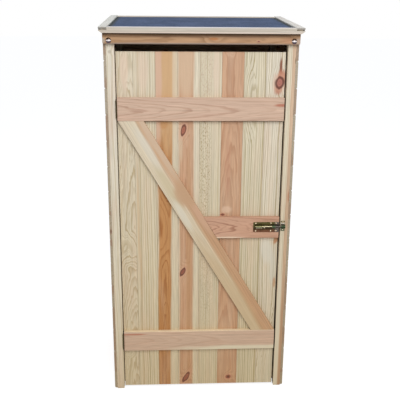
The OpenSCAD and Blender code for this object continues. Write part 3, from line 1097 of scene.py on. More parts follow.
@dataclass(frozen=True)
class Slope:
    """The slope on top of a CAD node.

    Attributes:
        front: its lower end, metres.
        back: its upper end, metres.
    """

    front: Vector
    back: Vector

    @classmethod
    def of(cls, node: str) -> "Slope":
        """Finds the slope among the node's corners.

        Args:
            node: the CAD node.
        Returns:
            The slope.
        """
        digits = 5
        corners = [v.co.copy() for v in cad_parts[node].data.vertices]
        return cls(min(corners, key=lambda c: (round(c.y, digits), -c.z)),
                   max(corners, key=lambda c: (round(c.z, digits), c.y)))

    @property
    def climb(self) -> Vector:
        """The way from front to back, metres."""
        return Vector((0, self.back.y - self.front.y, self.back.z - self.front.z))

    @property
    def rise(self) -> Vector:
        """The direction up the slope."""
        return self.climb.normalized()

    @property
    def up(self) -> Vector:
        """The direction square to the slope, out of the roof."""
        return X.cross(self.rise)


@dataclass
class CornerFrame:
    """Posts, header and the rails that carry the walls, the floor and the roof.

    Attributes:
        arris_mm: rounding of the posts' edges.
        foot_mm: rounding of the posts' feet.
        header_corner_mm: rounding of the header's lower corners.
        header_arris_mm: rounding of its other edges.
        rail_arris_mm: rounding of the rails' edges.
        shank_radius_mm: radius of the header bolts' shanks.
        shank_mm: how far a shank reaches into the header.
        floor_board_mm: width of a floor board.
        floor_gap_mm: gap between two floor boards.
        floor_arris_mm: rounding of the floor boards' edges.
    """

    arris_mm: float = 1.6
    foot_mm: float = 4.0
    header_corner_mm: float = 6.0
    header_arris_mm: float = 1.0
    rail_arris_mm: float = 1.2
    shank_radius_mm: float = 4.0
    shank_mm: float = 17.0
    floor_board_mm: float = 92.0
    floor_gap_mm: float = 2.5
    floor_arris_mm: float = 0.8

    def build(self) -> None:
        """Builds and dresses the frame."""
        self._posts()
        self._header()
        self._bolts()
        self._rails()
        self._floor()

    def _posts(self) -> None:
        """Builds the four posts with eased edges and rounded feet."""
        pale = Softwood(ring_mm=7.0, cut=Cut.RIFT)
        # The heartwood of the right front post lies on the outer side of the cabinet.
        two_tone = replace(pale, heart=("#CDB195", "#B08C6C"), heart_mm=168.5, heart_edge=2.5,
                           cut=Cut.QUARTER, shift=398.0, wander=1.5)
        woods = {
            "post_front_left": replace(pale, seed=1.0, sap=("#E0D8C6", "#C6B899"), flush_share=0.5,
                                       flush="#D3B49E", marks=(
                Mark(STAIN, -349, 1456, 7, 7, "#B4AA98", 0.7, bend=4),)),
            "post_front_right": replace(two_tone, seed=2.0, marks=(
                Mark(STAIN, 339, 160, 10, 560, "#D9D1BE", 0.9),
                Mark(STAIN, 358, 180, 7, 420, "#A98265", 0.6),
                Mark(STAIN, 361, 882, 5, 26, "#AC7356", 0.7),
                Mark(STAIN, 362, 1425, 3, 14, "#6E5A40", 0.6),
                # Painted shade: a near-black strip on the post's inner face, deep in the gap beside the door.
                Mark(STAIN, 331.5, 200, 2.2, 340, "#1E1A16", 0.85, inward=2.0, half_deep=12.5))),
            "post_back_left": replace(pale, seed=3.0),
            "post_back_right": replace(pale, seed=4.0),
        }
        long_edge = 1.0
        for node, wood in woods.items():
            face = -Y if "front" in node else Y
            piece = Workpiece.copy_of(node)
            piece.ease(self.foot_mm, 3, lambda e: max(v.co.z for v in e.verts) < MM)
            piece.ease(self.arris_mm, 2, lambda e: rise_of(e) > long_edge)
            piece.install(f"{node}_planed", "cabinet", wood.material(node, lie_of(node, Z, face)), "pine",
                          node)

    def _header(self) -> None:
        """Builds the header rail, its lower corners rounded."""
        low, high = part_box("header_rail")
        piece = Workpiece.copy_of("header_rail")
        piece.ease(self.header_corner_mm, 4, lambda e: all(
            v.co.z < low.z + MM and min(v.co.x - low.x, high.x - v.co.x) < MM for v in e.verts))
        piece.ease(self.header_arris_mm, 2, longer_than(12))
        wood = Softwood(heart=("#B8926E", "#8F6A47"), heart_mm=500.0, cut=Cut.FLAT, ring_mm=4.0, taper=0.03,
                        wander=14.0, flush="#C09878", flush_share=0.5, seed=14.0, marks=(
            Mark(KNOT, 214, 1497, 2.6, 4.5, "#4A2A1E", bend=3),
            Mark(STAIN, 45, 1506, 7, 20, "#B0703F", 0.75, bend=3),
            # Painted shadow of the roof's overhang: two dark bands along the header's top.
            Mark(STAIN, 0, 1526, 17, 560, "#6E5038", 0.85),
            Mark(STAIN, 0, 1524, 5, 560, "#54402A", 0.8),
            Mark(STAIN, 0, 1484, 8, 560, "#A09084", 0.9),
            Mark(STAIN, -371, 1497, 12, 9, "#B0A596", 0.75),
            Mark(STAIN, 366, 1496, 14, 14, "#B4A292", 0.7),
            Mark(STAIN, 330, 1500, 12, 30, "#B98468", 0.3)))
        piece.install("header_rail_planed", "cabinet",
                      wood.material("header", lie_of("header_rail", X, -Y)), "heart_pine", "header_rail")

    def _bolts(self) -> None:
        """Builds the two dome-headed bolts through the header."""
        low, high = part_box("header_bolts")
        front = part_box("header_rail")[0].y
        radius = (high.z - low.z) / 2
        rise = front - low.y
        steps, dome_sides, shank_sides = 9, 40, 24
        angles = (k * math.pi / 2 / steps for k in range(steps))
        dome = [(radius * math.cos(t), rise * math.sin(t)) for t in angles]
        foot = [(radius * 0.9, -0.3 * MM), (radius * 0.985, -0.02 * MM)]
        shank = [(self.shank_radius_mm * MM, 0.1 * MM), (self.shank_radius_mm * MM, self.shank_mm * MM)]
        piece = Workpiece()
        for x in (low.x + radius, high.x - radius):
            at = Vector((x, front, low.z + radius))
            piece.add_turned([*foot, *dome, (0.0, rise)], at, -Y, dome_sides)
            piece.add_turned(shank, at, Y, shank_sides)
        piece.install("header_dome_bolts", "cabinet", BRIGHT_ZINC.material(), "bright_zinc", "header_bolts")

    def _rails(self) -> None:
        """Builds the rails at the top and at the bottom of the walls."""
        inner = Softwood(ring_mm=6.0, cut=Cut.FLAT, taper=0.02, heart_mm=70.0, wander=14.0)
        heart = replace(inner, heart=("#B99472", "#97714F"), heart_mm=400.0)
        rails = {
            "back_top_rail": (X, -Y, 5.0), "side_top_rail_left": (Y, X, 6.0),
            "side_top_rail_right": (Y, -X, 7.0), "bottom_rail_front": (X, -Y, 9.0),
            "bottom_rail_back": (X, -Y, 10.0), "bottom_rail_left": (Y, X, 11.0),
            "bottom_rail_right": (Y, -X, 12.0),
        }
        for node, (along, face, seed) in rails.items():
            wood, slot = (heart, "heart_pine") if "bottom" in node else (inner, "pine")
            finish = replace(wood, seed=seed).material(node, lie_of(node, along, face))
            piece = Workpiece.copy_of(node).ease(self.rail_arris_mm)
            piece.install(f"{node}_planed", "cabinet", finish, slot, node)

    def _floor(self) -> None:
        """Builds the floor from boards that run across the cabinet."""
        low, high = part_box("floor_boards")
        pitch = (self.floor_board_mm + self.floor_gap_mm) * MM
        wood = Softwood(cut=Cut.FLAT, ring_mm=5.0, taper=0.02, wander=16.0, heart_mm=66.0, ripple=1.5,
                        seed=20.0)
        for k in range(math.ceil((high.y - low.y) / pitch)):
            start = low.y + k * pitch
            end = min(high.y, start + self.floor_board_mm * MM)
            piece = Workpiece.copy_of("floor_boards")
            if k:
                piece.trim(Vector((0, start, 0)), -Y)
            if end < high.y:
                piece.trim(Vector((0, end, 0)), Y)
            piece.ease(self.floor_arris_mm)
            lie = Lie(Vector((0, (start + end) / 2, high.z)), X, Z)
            finish = replace(wood, seed=wood.seed + k).material(f"floor_{k + 1}", lie)
            piece.install(f"floor_board_{k + 1}", "cabinet", finish, "pine", "floor_boards")


class Side(Enum):
    """A wall of the cabinet: its CAD node, which way it looks and which way its boards run."""

    LEFT = ("left_wall", -X, Y)
    RIGHT = ("right_wall", X, Y)
    BACK = ("back_wall", Y, X)


@dataclass
class BoardWall:
    """A wall of matched boards laid level, nailed to the posts, each from another log.

    Attributes:
        side: which wall it is.
        cover_mm: height that each board covers.
        first_joint_mm: height of the lowest joint above the ground.
        least_mm: height of the lowest top board; a lower one is part of the board below it.
        joint_gap_mm: gap between two boards.
        uneven_mm: how far a board's end may lie back.
        edge: how the boards meet.
        log_mm: least and most that a board's log lies off, across, inward and along.
        nail_mm: how far a nail lies from the board's edge.
        top_nail_mm: how far above the highest joint a nail may still be.
        highest_nail_mm: how far above the ground a nail may be.
    """

    side: Side
    cover_mm: float = 103.0
    first_joint_mm: float = 83.5
    least_mm: float = 50.0
    joint_gap_mm: float = 0.4
    uneven_mm: float = 0.9
    edge: MatchedEdge = MatchedEdge(tongue_mm=5.0, show_mm=3.0, back_mm=0.6)
    log_mm: tuple[Point2, ...] = ((-120, 120), (-10, 60), (-4000, 4000))
    nail_mm: float = 24.0
    top_nail_mm: float = 70.0
    highest_nail_mm: float = 1500.0

    def build(self, rng: random.Random) -> None:
        """Builds and dresses the wall.

        Args:
            rng: where chance comes from.
        """
        node, face, along = self.side.value
        low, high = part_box(node)
        lie = Lie((low + high) / 2, along, face)
        through = X if face.x else Y
        outer, inner = high.dot(through), low.dot(through)
        if face.dot(through) < 0:
            outer, inner = inner, outer
        joints = self._joints(low.z, high.z)
        piece = Workpiece()
        shifts = []
        for k, (start, end) in enumerate(zip(joints, joints[1:])):
            outline = self.edge.outline(start + (self.joint_gap_mm * MM if k else 0), end, outer, inner,
                                        k < len(joints) - 2, k > 0)
            front = low.dot(along) + rng.uniform(0, self.uneven_mm) * MM
            verts = piece.add_prism(outline, (Z, through, along), front, high.dot(along))
            middle = Vector((lie.middle.x, lie.middle.y, (start + end) / 2))
            away = lie.turn @ (middle - lie.middle) / MM
            log = Vector([rng.uniform(*reach) for reach in self.log_mm])
            shifts.append((verts, log - Vector((away.x, away.y, 0))))
        piece.label_boards(shifts)
        slope = Slope.of(node)
        piece.trim(slope.back, slope.up)
        wood = Softwood(cut=Cut.FLAT, ring_mm=6.5, taper=0.012, wander=16.0, heart=("#C9AB90", "#AC8B70"),
                        heart_mm=80.0, heart_edge=5.0, scattered_knots=True, seed=30.0, sawn="#7E7060")
        piece.install(f"{node}_matched_boards", "cabinet", wood.material(node, lie, per_board=True), "pine",
                      node)
        self._nails(node, joints, outer, face)

    def _joints(self, foot: float, top: float) -> list[float]:
        """The heights of the boards' edges.

        Args:
            foot: the wall's lower edge, metres.
            top: its highest corner, metres.
        Returns:
            The heights above the ground, from lowest to highest, metres.
        """
        joints = [foot]
        while joints[-1] < top:
            joints.append((self.first_joint_mm + self.cover_mm * (len(joints) - 1)) * MM)
        return [z for z in joints if z < top - self.least_mm * MM] + [top]

    def _nails(self, node: str, joints: Sequence[float], outer: float, face: Vector) -> None:
        """Nails each board to the posts, twice at each end.

        Args:
            node: the wall's CAD node.
            joints: the boards' edges above the ground.
            outer: the outer face's place.
            face: which way the wall looks.
        """
        piece = Workpiece()
        highest = min(joints[-2] + self.top_nail_mm * MM, self.highest_nail_mm * MM)
        posts = ("post_front_left", "post_back_left") if face.x else ("post_back_left", "post_back_right")
        for post in posts:
            low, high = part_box(post)
            middle = (low + high) / 2
            for start, end in zip(joints, joints[1:]):
                for z in (start + self.nail_mm * MM, end - self.nail_mm * MM):
                    if z <= highest:
                        at = Vector((outer, middle.y, z)) if face.x else Vector((middle.x, outer, z))
                        Nail().drive(piece, at, face)
        piece.install(f"{node}_nails", "cabinet", NAIL_ZINC.material(), "bright_zinc")


@dataclass
class Roof:
    """A board under mineral felt, held down by mouldings all round.

    Attributes:
        moulding_round_mm: rounding of the mouldings' edges.
        chamfer_mm: how far the outer lower corners are cut, across and up.
        felt_wave_mm: how deep the felt's waves are.
        felt_cell_mm: size of the felt mesh's cells.
        waves: how many waves lie over each other, then least and most of how far each one turns in a metre
            across, how far in half a metre of depth, and where it starts, radians.
        deck_boards: how many boards lie under the felt.
        deck_gap_mm: gap between two of them.
        deck_arris_mm: rounding of their edges.
    """

    moulding_round_mm: float = 1.8
    chamfer_mm: tuple[float, float] = (13.0, 8.5)
    felt_wave_mm: float = 0.8
    felt_cell_mm: float = 9.0
    waves: tuple[int, Point2, Point2, Point2] = (5, (6, 26), (4, 20), (0, 6.28))
    deck_boards: int = 5
    deck_gap_mm: float = 1.0
    deck_arris_mm: float = 0.8

    def build(self, rng: random.Random) -> None:
        """Builds and dresses the roof.

        Args:
            rng: where chance comes from.
        """
        slope = Slope.of("roof_felt")
        self._mouldings(slope)
        self._felt(slope, rng)
        self._deck(slope)

    def _mouldings(self, slope: Slope) -> None:
        """Builds the four mouldings, their outer lower corners cut off along the front and the sides.

        Args:
            slope: the felt's slope.
        """
        pale = Softwood(ring_mm=6.0, cut=Cut.RIFT, sap=("#C8BEB0", "#B8AB99"), flush="#C8B5A6", wander=8.0,
                        sawn="#5C4E40")
        runs = {
            "roof_moulding_front": (X, -Y, (-1, 1), replace(pale, seed=40.0, marks=(
                # A painted highlight: the pale strip along the moulding's top.
                Mark(STAIN, 0, 1549, 3.6, 600, "#DCD9DA", 0.9),
                Mark(STAIN, 0, 1542, 3, 600, "#BDB8A6", 0.5),
                Mark(STAIN, 60, 1528, 3, 600, "#DCCBBC", 0.7)))),
            "roof_moulding_back": (X, Y, (), replace(pale, seed=41.0)),
            "roof_moulding_left": (Y, Z, (-1,), replace(pale, seed=42.0, sap=("#D8D9D2", "#C8C8BC"))),
            "roof_moulding_right": (Y, Z, (1,), replace(pale, seed=43.0, sap=("#D8D5CE", "#C7C2B6"))),
        }
        wide, tall = self.chamfer_mm
        edge_low, edge_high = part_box("roof_moulding_front")
        for node, (along, face, cut_sides, wood) in runs.items():
            piece = Workpiece.copy_of(node)
            for side in cut_sides:
                outward = Vector((side * tall, 0, -wide)).normalized()
                if along == Y:
                    outward = (outward.x * X + outward.z * slope.up).normalized()
                piece.trim(Vector((side * edge_high.x, edge_low.y, edge_low.z + tall * MM)), outward)
            piece.ease(self.moulding_round_mm, 3, longer_than(20))
            piece.install(f"{node}_planed", "cabinet", wood.material(node, lie_of(node, along, face)), "pine",
                          node)

    def _felt(self, slope: Slope, rng: random.Random) -> None:
        """Builds the felt as a slightly wavy sheet.

        Args:
            slope: the felt's slope.
            rng: where chance comes from.
        """
        low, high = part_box("roof_felt")
        up = slope.up
        thick = (slope.front.z - low.z) / up.z
        length = (slope.back - slope.front).length
        across = round((high.x - low.x) / (self.felt_cell_mm * MM))
        deep = round(length / (self.felt_cell_mm * MM))
        count, *reaches = self.waves
        waves = [tuple(rng.uniform(*reach) for reach in reaches) for _ in range(count)]

        def base(j: int, i: int) -> Vector:
            """A grid point of the flat sheet: row j up the slope, column i across it."""
            x = low.x + (high.x - low.x) * i / across
            return Vector((x, slope.front.y, slope.front.z)) + slope.climb * j / deep

        def top(j: int, i: int) -> Vector:
            """The same point on the wavy sheet."""
            flat = base(j, i)
            wave = sum(math.sin(a * flat.x + b * flat.y * 2 + c) for a, b, c in waves) / count
            return flat - up * self.felt_wave_mm * MM * (0.5 - wave / 2)

        piece = Workpiece()
        rows = [[piece.bm.verts.new(top(j, i)) for i in range(across + 1)] for j in range(deep + 1)]
        for j in range(deep):
            for i in range(across):
                piece.bm.faces.new((rows[j][i], rows[j][i + 1], rows[j + 1][i + 1], rows[j + 1][i]))
        border = [(j, 0) for j in range(deep + 1)] + [(deep, i) for i in range(1, across + 1)]
        border += [(j, across) for j in range(deep - 1, -1, -1)] + [(0, i) for i in range(across - 1, 0, -1)]
        under = {key: piece.bm.verts.new(base(*key) - up * thick) for key in border}
        for a, b in zip(border, border[1:] + border[:1]):
            piece.bm.faces.new((rows[a[0]][a[1]], rows[b[0]][b[1]], under[b], under[a]))
        piece.bm.faces.new([under[key] for key in border])
        middle = (slope.front + slope.back) / 2
        middle.x = 0
        finish = RoofingFelt(half_wide=(high.x - low.x) / MM / 2, half_deep=length / MM / 2)
        piece.install("roof_felt_sheet", "cabinet", finish.material(Lie(middle, slope.rise, up)),
                      "roofing_felt", "roof_felt")

    def _deck(self, slope: Slope) -> None:
        """Builds the boards under the felt, which run across the roof.

        Args:
            slope: the felt's slope.
        """
        length = (slope.back - slope.front).dot(slope.rise)
        wood = Softwood(cut=Cut.FLAT, ring_mm=5.0, taper=0.015, wander=16.0, heart_mm=64.0,
                        scattered_knots=True, seed=50.0)
        for k in range(self.deck_boards):
            start = slope.front + slope.rise * length * k / self.deck_boards
            end = slope.front + slope.rise * (length * (k + 1) / self.deck_boards - self.deck_gap_mm * MM)
            piece = Workpiece.copy_of("roof_board")
            if k:
                piece.trim(start, -slope.rise)
            if k < self.deck_boards - 1:
                piece.trim(end, slope.rise)
            piece.ease(self.deck_arris_mm)
            middle = (start + end) / 2
            middle.x = 0
            finish = replace(wood, seed=wood.seed + k).material(f"deck_{k + 1}", Lie(middle, X, -slope.up))
            piece.install(f"roof_deck_board_{k + 1}", "cabinet", finish, "pine", "roof_board")


# The door's boards, left to right: where each lay in its log, and what grew in it or stained it.
DOOR_BOARDS = (
    Softwood(seed=61.0, sap=("#D9CEB6", "#AC966E"), cut=Cut.FLAT, shift=20.0, ring_mm=4.2, taper=0.06,
             ripple=2.4, wander=8.0, marks=(
        Mark(SWIRL, -292, 640, 16, 34, bend=22),
        Mark(SWIRL, -300, 596, 12, 20, bend=-16),
        Mark(SWIRL, -298, 172, 8, 10, bend=12),
        Mark(STAIN, -298, 1390, 18, 80, "#DCC3AC", 0.6))),
    Softwood(seed=62.0, sap=("#D8CDB4", "#AA9468"), ring_mm=9.5, wander=5.0, late_from=0.5, contrast=1.0,
             marks=(
        Mark(STAIN, -254, 790, 5, 230, "#C99C6C", 0.35),
        Mark(STAIN, -248, 560, 3.5, 120, "#C99C6C", 0.3),
        Mark(STAIN, -225, 1390, 22, 90, "#DCC4AE", 0.45))),
    Softwood(seed=63.0, cut=Cut.HEART, shift=-13.0, askew=0.012, heart=("#C08D5B", "#9C6232"), heart_mm=42.5,
             wander=3.0, ring_mm=3.6, late_from=0.5, contrast=1.0, marks=(
        Mark(SWIRL, -150, 745, 9, 60, bend=9),
        Mark(SWIRL, -148, 300, 8, 50, bend=-8),
        Mark(STAIN, -138, 1400, 44, 330, "#CDAA80", 0.8),
        Mark(STAIN, -168, 1380, 16, 300, "#CFAC93", 0.9),
        Mark(STAIN, -102, 1380, 12, 300, "#D2C0A4", 0.6),
        Mark(STAIN, -146, 1180, 18, 24, "#B9834F", 0.6))),
    Softwood(seed=64.0, cut=Cut.HEART, shift=-9.5, heart=("#C9A182", "#AC7D5B"), heart_mm=43.0,
             heart_edge=4.5, wander=2.0, ring_mm=4.5, late_from=0.45, contrast=0.7, marks=(
        Mark(KNOT, -69, 1154, 10, 23, "#985744", lean=15, bend=12, rim="#56281C"),
        Mark(KNOT, -72, 550, 9, 19, "#84483A", lean=26, bend=10, rim="#522A1E"),
        Mark(KNOT, -58, 43, 10, 28, "#8F5440", lean=30, bend=12, rim="#5A3022"),
        Mark(STAIN, -47, 560, 11, 560, "#B78C63", 0.5),
        Mark(STAIN, -60, 1420, 34, 190, "#CFB496", 0.7),
        Mark(STAIN, -80, 1100, 8, 80, "#D2BFA2", 0.5))),
    Softwood(seed=65.0, sap=("#D5CAB1", "#B19E78"), ring_mm=9.0, contrast=0.65, wander=5.0, marks=(
        Mark(FLECKS, 15, 1010, 30, 260, "#98835F", 0.75),
        Mark(FLECKS, 20, 1390, 32, 130, "#B4947C", 0.5),
        Mark(FLECKS, 25, 560, 34, 300, "#9C8966", 0.45),
        Mark(STAIN, 60, 1400, 14, 120, "#DCC6B0", 0.5))),
    Softwood(seed=66.0, cut=Cut.FLAT, shift=-14.0, heart=("#C8A182", "#A97A5A"), heart_mm=600.0, ring_mm=4.6,
             taper=0.024, wander=7.0, ripple=1.4, contrast=0.65, marks=(
        Mark(KNOT, 91, 803, 9, 5, "#5C3526", bend=6),
        Mark(KNOT, 130, 40, 11, 11, "#553322", bend=12),
        Mark(SWIRL, 112, 1462, 10, 9, bend=-5),
        Mark(STAIN, 110, 1000, 13, 130, "#B9846A", 0.35),
        Mark(STAIN, 108, 824, 22, 16, "#DDBFA6", 0.6))),
    Softwood(seed=67.0, sap=("#D6CCB3", "#9E8D61"), ring_mm=9.0, wander=6.0, late_from=0.5, contrast=1.0,
             marks=(Mark(SWIRL, 192, 1262, 11, 56, bend=26),)),
    Softwood(seed=68.0, sap=("#DCD3C0", "#A4936A"), ring_mm=8.5, wander=6.0, late_from=0.5, contrast=1.0,
             marks=(
        Mark(KNOT, 307, 1341, 18, 26, "#A4665A", lean=10, bend=16, rim="#4E241A"),
        Mark(STAIN, 309, 1398, 6, 38, "#84523C", 0.95),
        Mark(STAIN, 313, 1360, 19, 34, "#AC6A50", 0.85),
        Mark(STAIN, 303, 1320, 15, 28, "#A2654A", 0.85, lean=10),
        Mark(STAIN, 290, 70, 50, 110, "#CEC7B2", 0.3),
        Mark(STAIN, 282, 640, 30, 64, "#D8D5C9", 0.6, lean=-12),
        Mark(STAIN, 310, 560, 12, 90, "#D2D2C8", 0.45),
        Mark(STAIN, 318, 497, 6, 26, "#B98A63", 0.7),
        Mark(STAIN, 320, 693, 9, 24, "#B07A52", 0.85, lean=20),
        Mark(SWIRL, 350, 100, 40, 90, bend=46))),
)
# Its rails, pinkish heartwood with a painted highlight along their top edges and along the middle rail's
# lower edge, and its brace, which is pale below and dark above.
RAIL = Softwood(heart_mm=900.0, cut=Cut.FLAT, ring_mm=3.8, taper=0.03, wander=8.0, ripple=1.0, late_from=0.55,
                contrast=0.5, flush="#D3AE98")
DOOR_RAILS = {
    "door_top_rail": replace(RAIL, seed=71.0, heart=("#CCAE97", "#9C7058"), marks=(
        Mark(STAIN, 318, 1255, 6, 34, "#AC6850", 0.85),
        # Painted highlight along the top rail's upper edge.
        Mark(STAIN, 0, 1287, 2.8, 520, "#EBDAC2", 0.95))),
    "door_middle_rail": replace(RAIL, seed=72.0, heart=("#CBA188", "#905E46"), wander=14.0, ripple=1.8,
                                contrast=0.75, marks=(
        # Painted highlights along the middle rail's lower and upper edges.
        Mark(STAIN, 114, 708, 3.4, 62, "#E2CBB4", 1.0),
        Mark(STAIN, 160, 801, 3.4, 260, "#E8CDB2", 0.9))),
    "door_bottom_rail": replace(RAIL, seed=73.0, heart=("#CFB5A3", "#B59480"), contrast=0.4, marks=(
        Mark(STAIN, -292, 266, 3.4, 60, "#B5745E", 0.85),
        Mark(STAIN, 250, 193, 15, 360, "#DCD4C0", 1.0),
        # Painted highlight along the bottom rail's upper edge.
        Mark(STAIN, 0, 280, 3.2, 520, "#EBDAC0", 1.0))),
}
DOOR_BRACE = Softwood(
    seed=81.0, shift=352.0, askew=0.016, sap=("#D8CBB2", "#B7A27E"), heart=("#C6A07E", "#A97F5C"),
    heart_mm=120.0, heart_edge=9.0, ring_mm=6.5, contrast=0.4, wander=6.0, marks=(
        Mark(STAIN, -176, 1095, 17, 190, "#CDB59B", 0.75),
        Mark(STAIN, 0, 800, 17, 95, "#CBA68C", 0.7),
        Mark(STAIN, -128, 925, 20, 110, "#C8BA9A", 0.7),
        Mark(STAIN, 152, 420, 46, 330, "#C3AA86", 0.6),
        Mark(STAIN, -62, 897, 44, 66, "#BF9C7C", 0.9),
        Mark(STAIN, -213, 1085, 17, 105, "#D6D0C2", 0.5),
        Mark(STAIN, -72, 806, 15, 80, "#D8D2C2", 0.7)))


@dataclass
class LedgedDoor:
    """A door of upright matched boards, with three rails and a brace planted on its front.

    Attributes:
        joints_mm: where two boards meet, across the cabinet.
        joint_gap_mm: gap between two boards.
        edge: how the boards meet.
        board_arris_mm: rounding of the boards' ends.
        rail_arris_mm: rounding of the rails' edges.
        shadow_line_mm: how far the middle of the painted shadow line below a rail lies under it, half the
            line's height and half its width.
        line: how strongly that painted shadow line shows, 0 to 1.
        screw: the screws that hold the boards to the rails.
        screw_mm: how far a screw lies from the rail's edge.
        brace_foot_mm: width at a rail's left end that the brace covers.
    """

    joints_mm: tuple[float, ...] = (-264.0, -178.0, -92.0, -6.0, 80.0, 166.0, 252.0)
    joint_gap_mm: float = 0.5
    edge: MatchedEdge = MatchedEdge()
    board_arris_mm: float = 0.5
    rail_arris_mm: float = 1.3
    shadow_line_mm: tuple[float, float, float] = (1.0, 3.4, 260.0)
    line: float = 0.92
    screw: Screw = Screw(radius_mm=3.2, height_mm=0.5, recess_mm=0.7)
    screw_mm: float = 26.0
    brace_foot_mm: float = 60.0

    def build(self) -> None:
        """Builds and dresses the door."""
        low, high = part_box("door_boards")
        edges = [low.x, *(x * MM for x in self.joints_mm), high.x]
        spans = list(zip(edges, edges[1:]))
        self._boards(spans)
        for node, wood in DOOR_RAILS.items():
            piece = Workpiece.copy_of(node).ease(self.rail_arris_mm)
            piece.install(f"{node}_planed", "door", wood.material(node, lie_of(node, X, -Y)), "heart_pine",
                          node)
        self._brace()
        self._screws(spans)

    def _boards(self, spans: Sequence[Point2]) -> None:
        """Builds the upright boards.

        Args:
            spans: where each starts and ends across the cabinet, metres.
        """
        low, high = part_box("door_boards")
        for k, ((start, end), wood) in enumerate(zip(spans, DOOR_BOARDS)):
            outline = self.edge.outline(start + (self.joint_gap_mm * MM if k else 0), end, low.y, high.y,
                                        k < len(spans) - 1, k > 0)
            piece = Workpiece()
            piece.add_prism(outline, (X, Y, Z), low.z, high.z)
            piece.ease(self.board_arris_mm, 1, lambda e: rise_of(e) < MM)
            middle = Vector(((start + end) / 2, (low.y + high.y) / 2, (low.z + high.z) / 2))
            marked = replace(wood, marks=wood.marks + self._rail_shadows(middle.x, high.y - low.y))
            piece.install(f"door_board_{k + 1}", "door", marked.material(f"door_{k + 1}", Lie(middle, Z, -Y)),
                          "pine", "door_boards")

    def _rail_shadows(self, middle: float, thick: float) -> tuple[Mark, ...]:
        """The painted shadow: a dark line on a board along each rail's lower edge.

        Args:
            middle: the board's middle across the cabinet, metres.
            thick: how thick it is, metres.
        Returns:
            A mark of painted shadow for each rail that crosses the board.
        """
        below, half_high, half_wide = self.shadow_line_mm
        half_thick = thick / MM / 2
        lows = [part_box(node)[0] for node in DOOR_RAILS]
        return tuple(Mark(STAIN, middle / MM, low.z / MM - below, half_wide, half_high, "#46301F", self.line,
                          inward=-half_thick, half_deep=half_thick / 2) for low in lows if middle > low.x)

    def _brace(self) -> None:
        """Builds the brace, whose grain runs along it."""
        low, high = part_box("door_brace")
        corners = [v.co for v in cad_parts["door_brace"].data.vertices]
        top_left = min((c for c in corners if c.z > high.z - MM), key=lambda c: c.x)
        low_left = min((c for c in corners if c.z < low.z + MM), key=lambda c: c.x)
        along = Vector((top_left.x - low_left.x, 0, top_left.z - low_left.z)).normalized()
        piece = Workpiece.copy_of("door_brace").ease(self.rail_arris_mm)
        finish = DOOR_BRACE.material("brace", lie_of("door_brace", along, -Y))
        piece.install("door_brace_planed", "door", finish, "pine", "door_brace")

    def _screws(self, spans: Sequence[Point2]) -> None:
        """Drives two screws through each board into each rail, from inside.

        Args:
            spans: where each board starts and ends across the cabinet, metres.
        """
        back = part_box("door_boards")[1].y
        piece = Workpiece()
        for node in DOOR_RAILS:
            low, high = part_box(node)
            first = low.x + self.brace_foot_mm * MM if node == "door_middle_rail" else low.x
            for start, end in spans:
                x = (start + end) / 2
                if x < first:
                    continue
                for z in (low.z + self.screw_mm * MM, high.z - self.screw_mm * MM):
                    self.screw.drive(piece, Vector((x, back, z)), Y)
        piece.install("door_rail_screws", "door", SCREW_ZINC.material(), "yellow_zinc")


@dataclass
class ButtHinge:
    """A small pressed hinge: two leaves rolled round a pin, screwed to post and door.

    Attributes:
        name: upper or lower.
        screw: the screws in its leaves.
        leaf_mm: how thick a leaf is.
        end_mm: how far the outer screws lie from a leaf's ends.
        in_mm: how far the screws lie from its back edge.
        edge_mm: rounding of its edges.
    """

    name: str
    screw: Screw = Screw(radius_mm=2.6, height_mm=0.25, recess_mm=0.5)
    leaf_mm: float = 1.2
    end_mm: float = 9.0
    in_mm: float = 11.0
    edge_mm: float = 0.2

    def build(self) -> None:
        """Builds and dresses both leaves."""
        for part, body, out in (("post", "cabinet", X), ("door", "door", -X)):
            node = f"hinge_{self.name}_{part}_leaf"
            low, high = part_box(node)
            piece = Workpiece.copy_of(node).ease(self.edge_mm, 1, longer_than(8))
            face = low.x + self.leaf_mm * MM if part == "post" else high.x - self.leaf_mm * MM
            for z in (low.z + self.end_mm * MM, (low.z + high.z) / 2, high.z - self.end_mm * MM):
                self.screw.drive(piece, Vector((face, high.y - self.in_mm * MM, z)), out)
            piece.install(f"hinge_{self.name}_{part}_side", body, GAP_SHADE_ZINC.material(), "yellow_zinc", node)


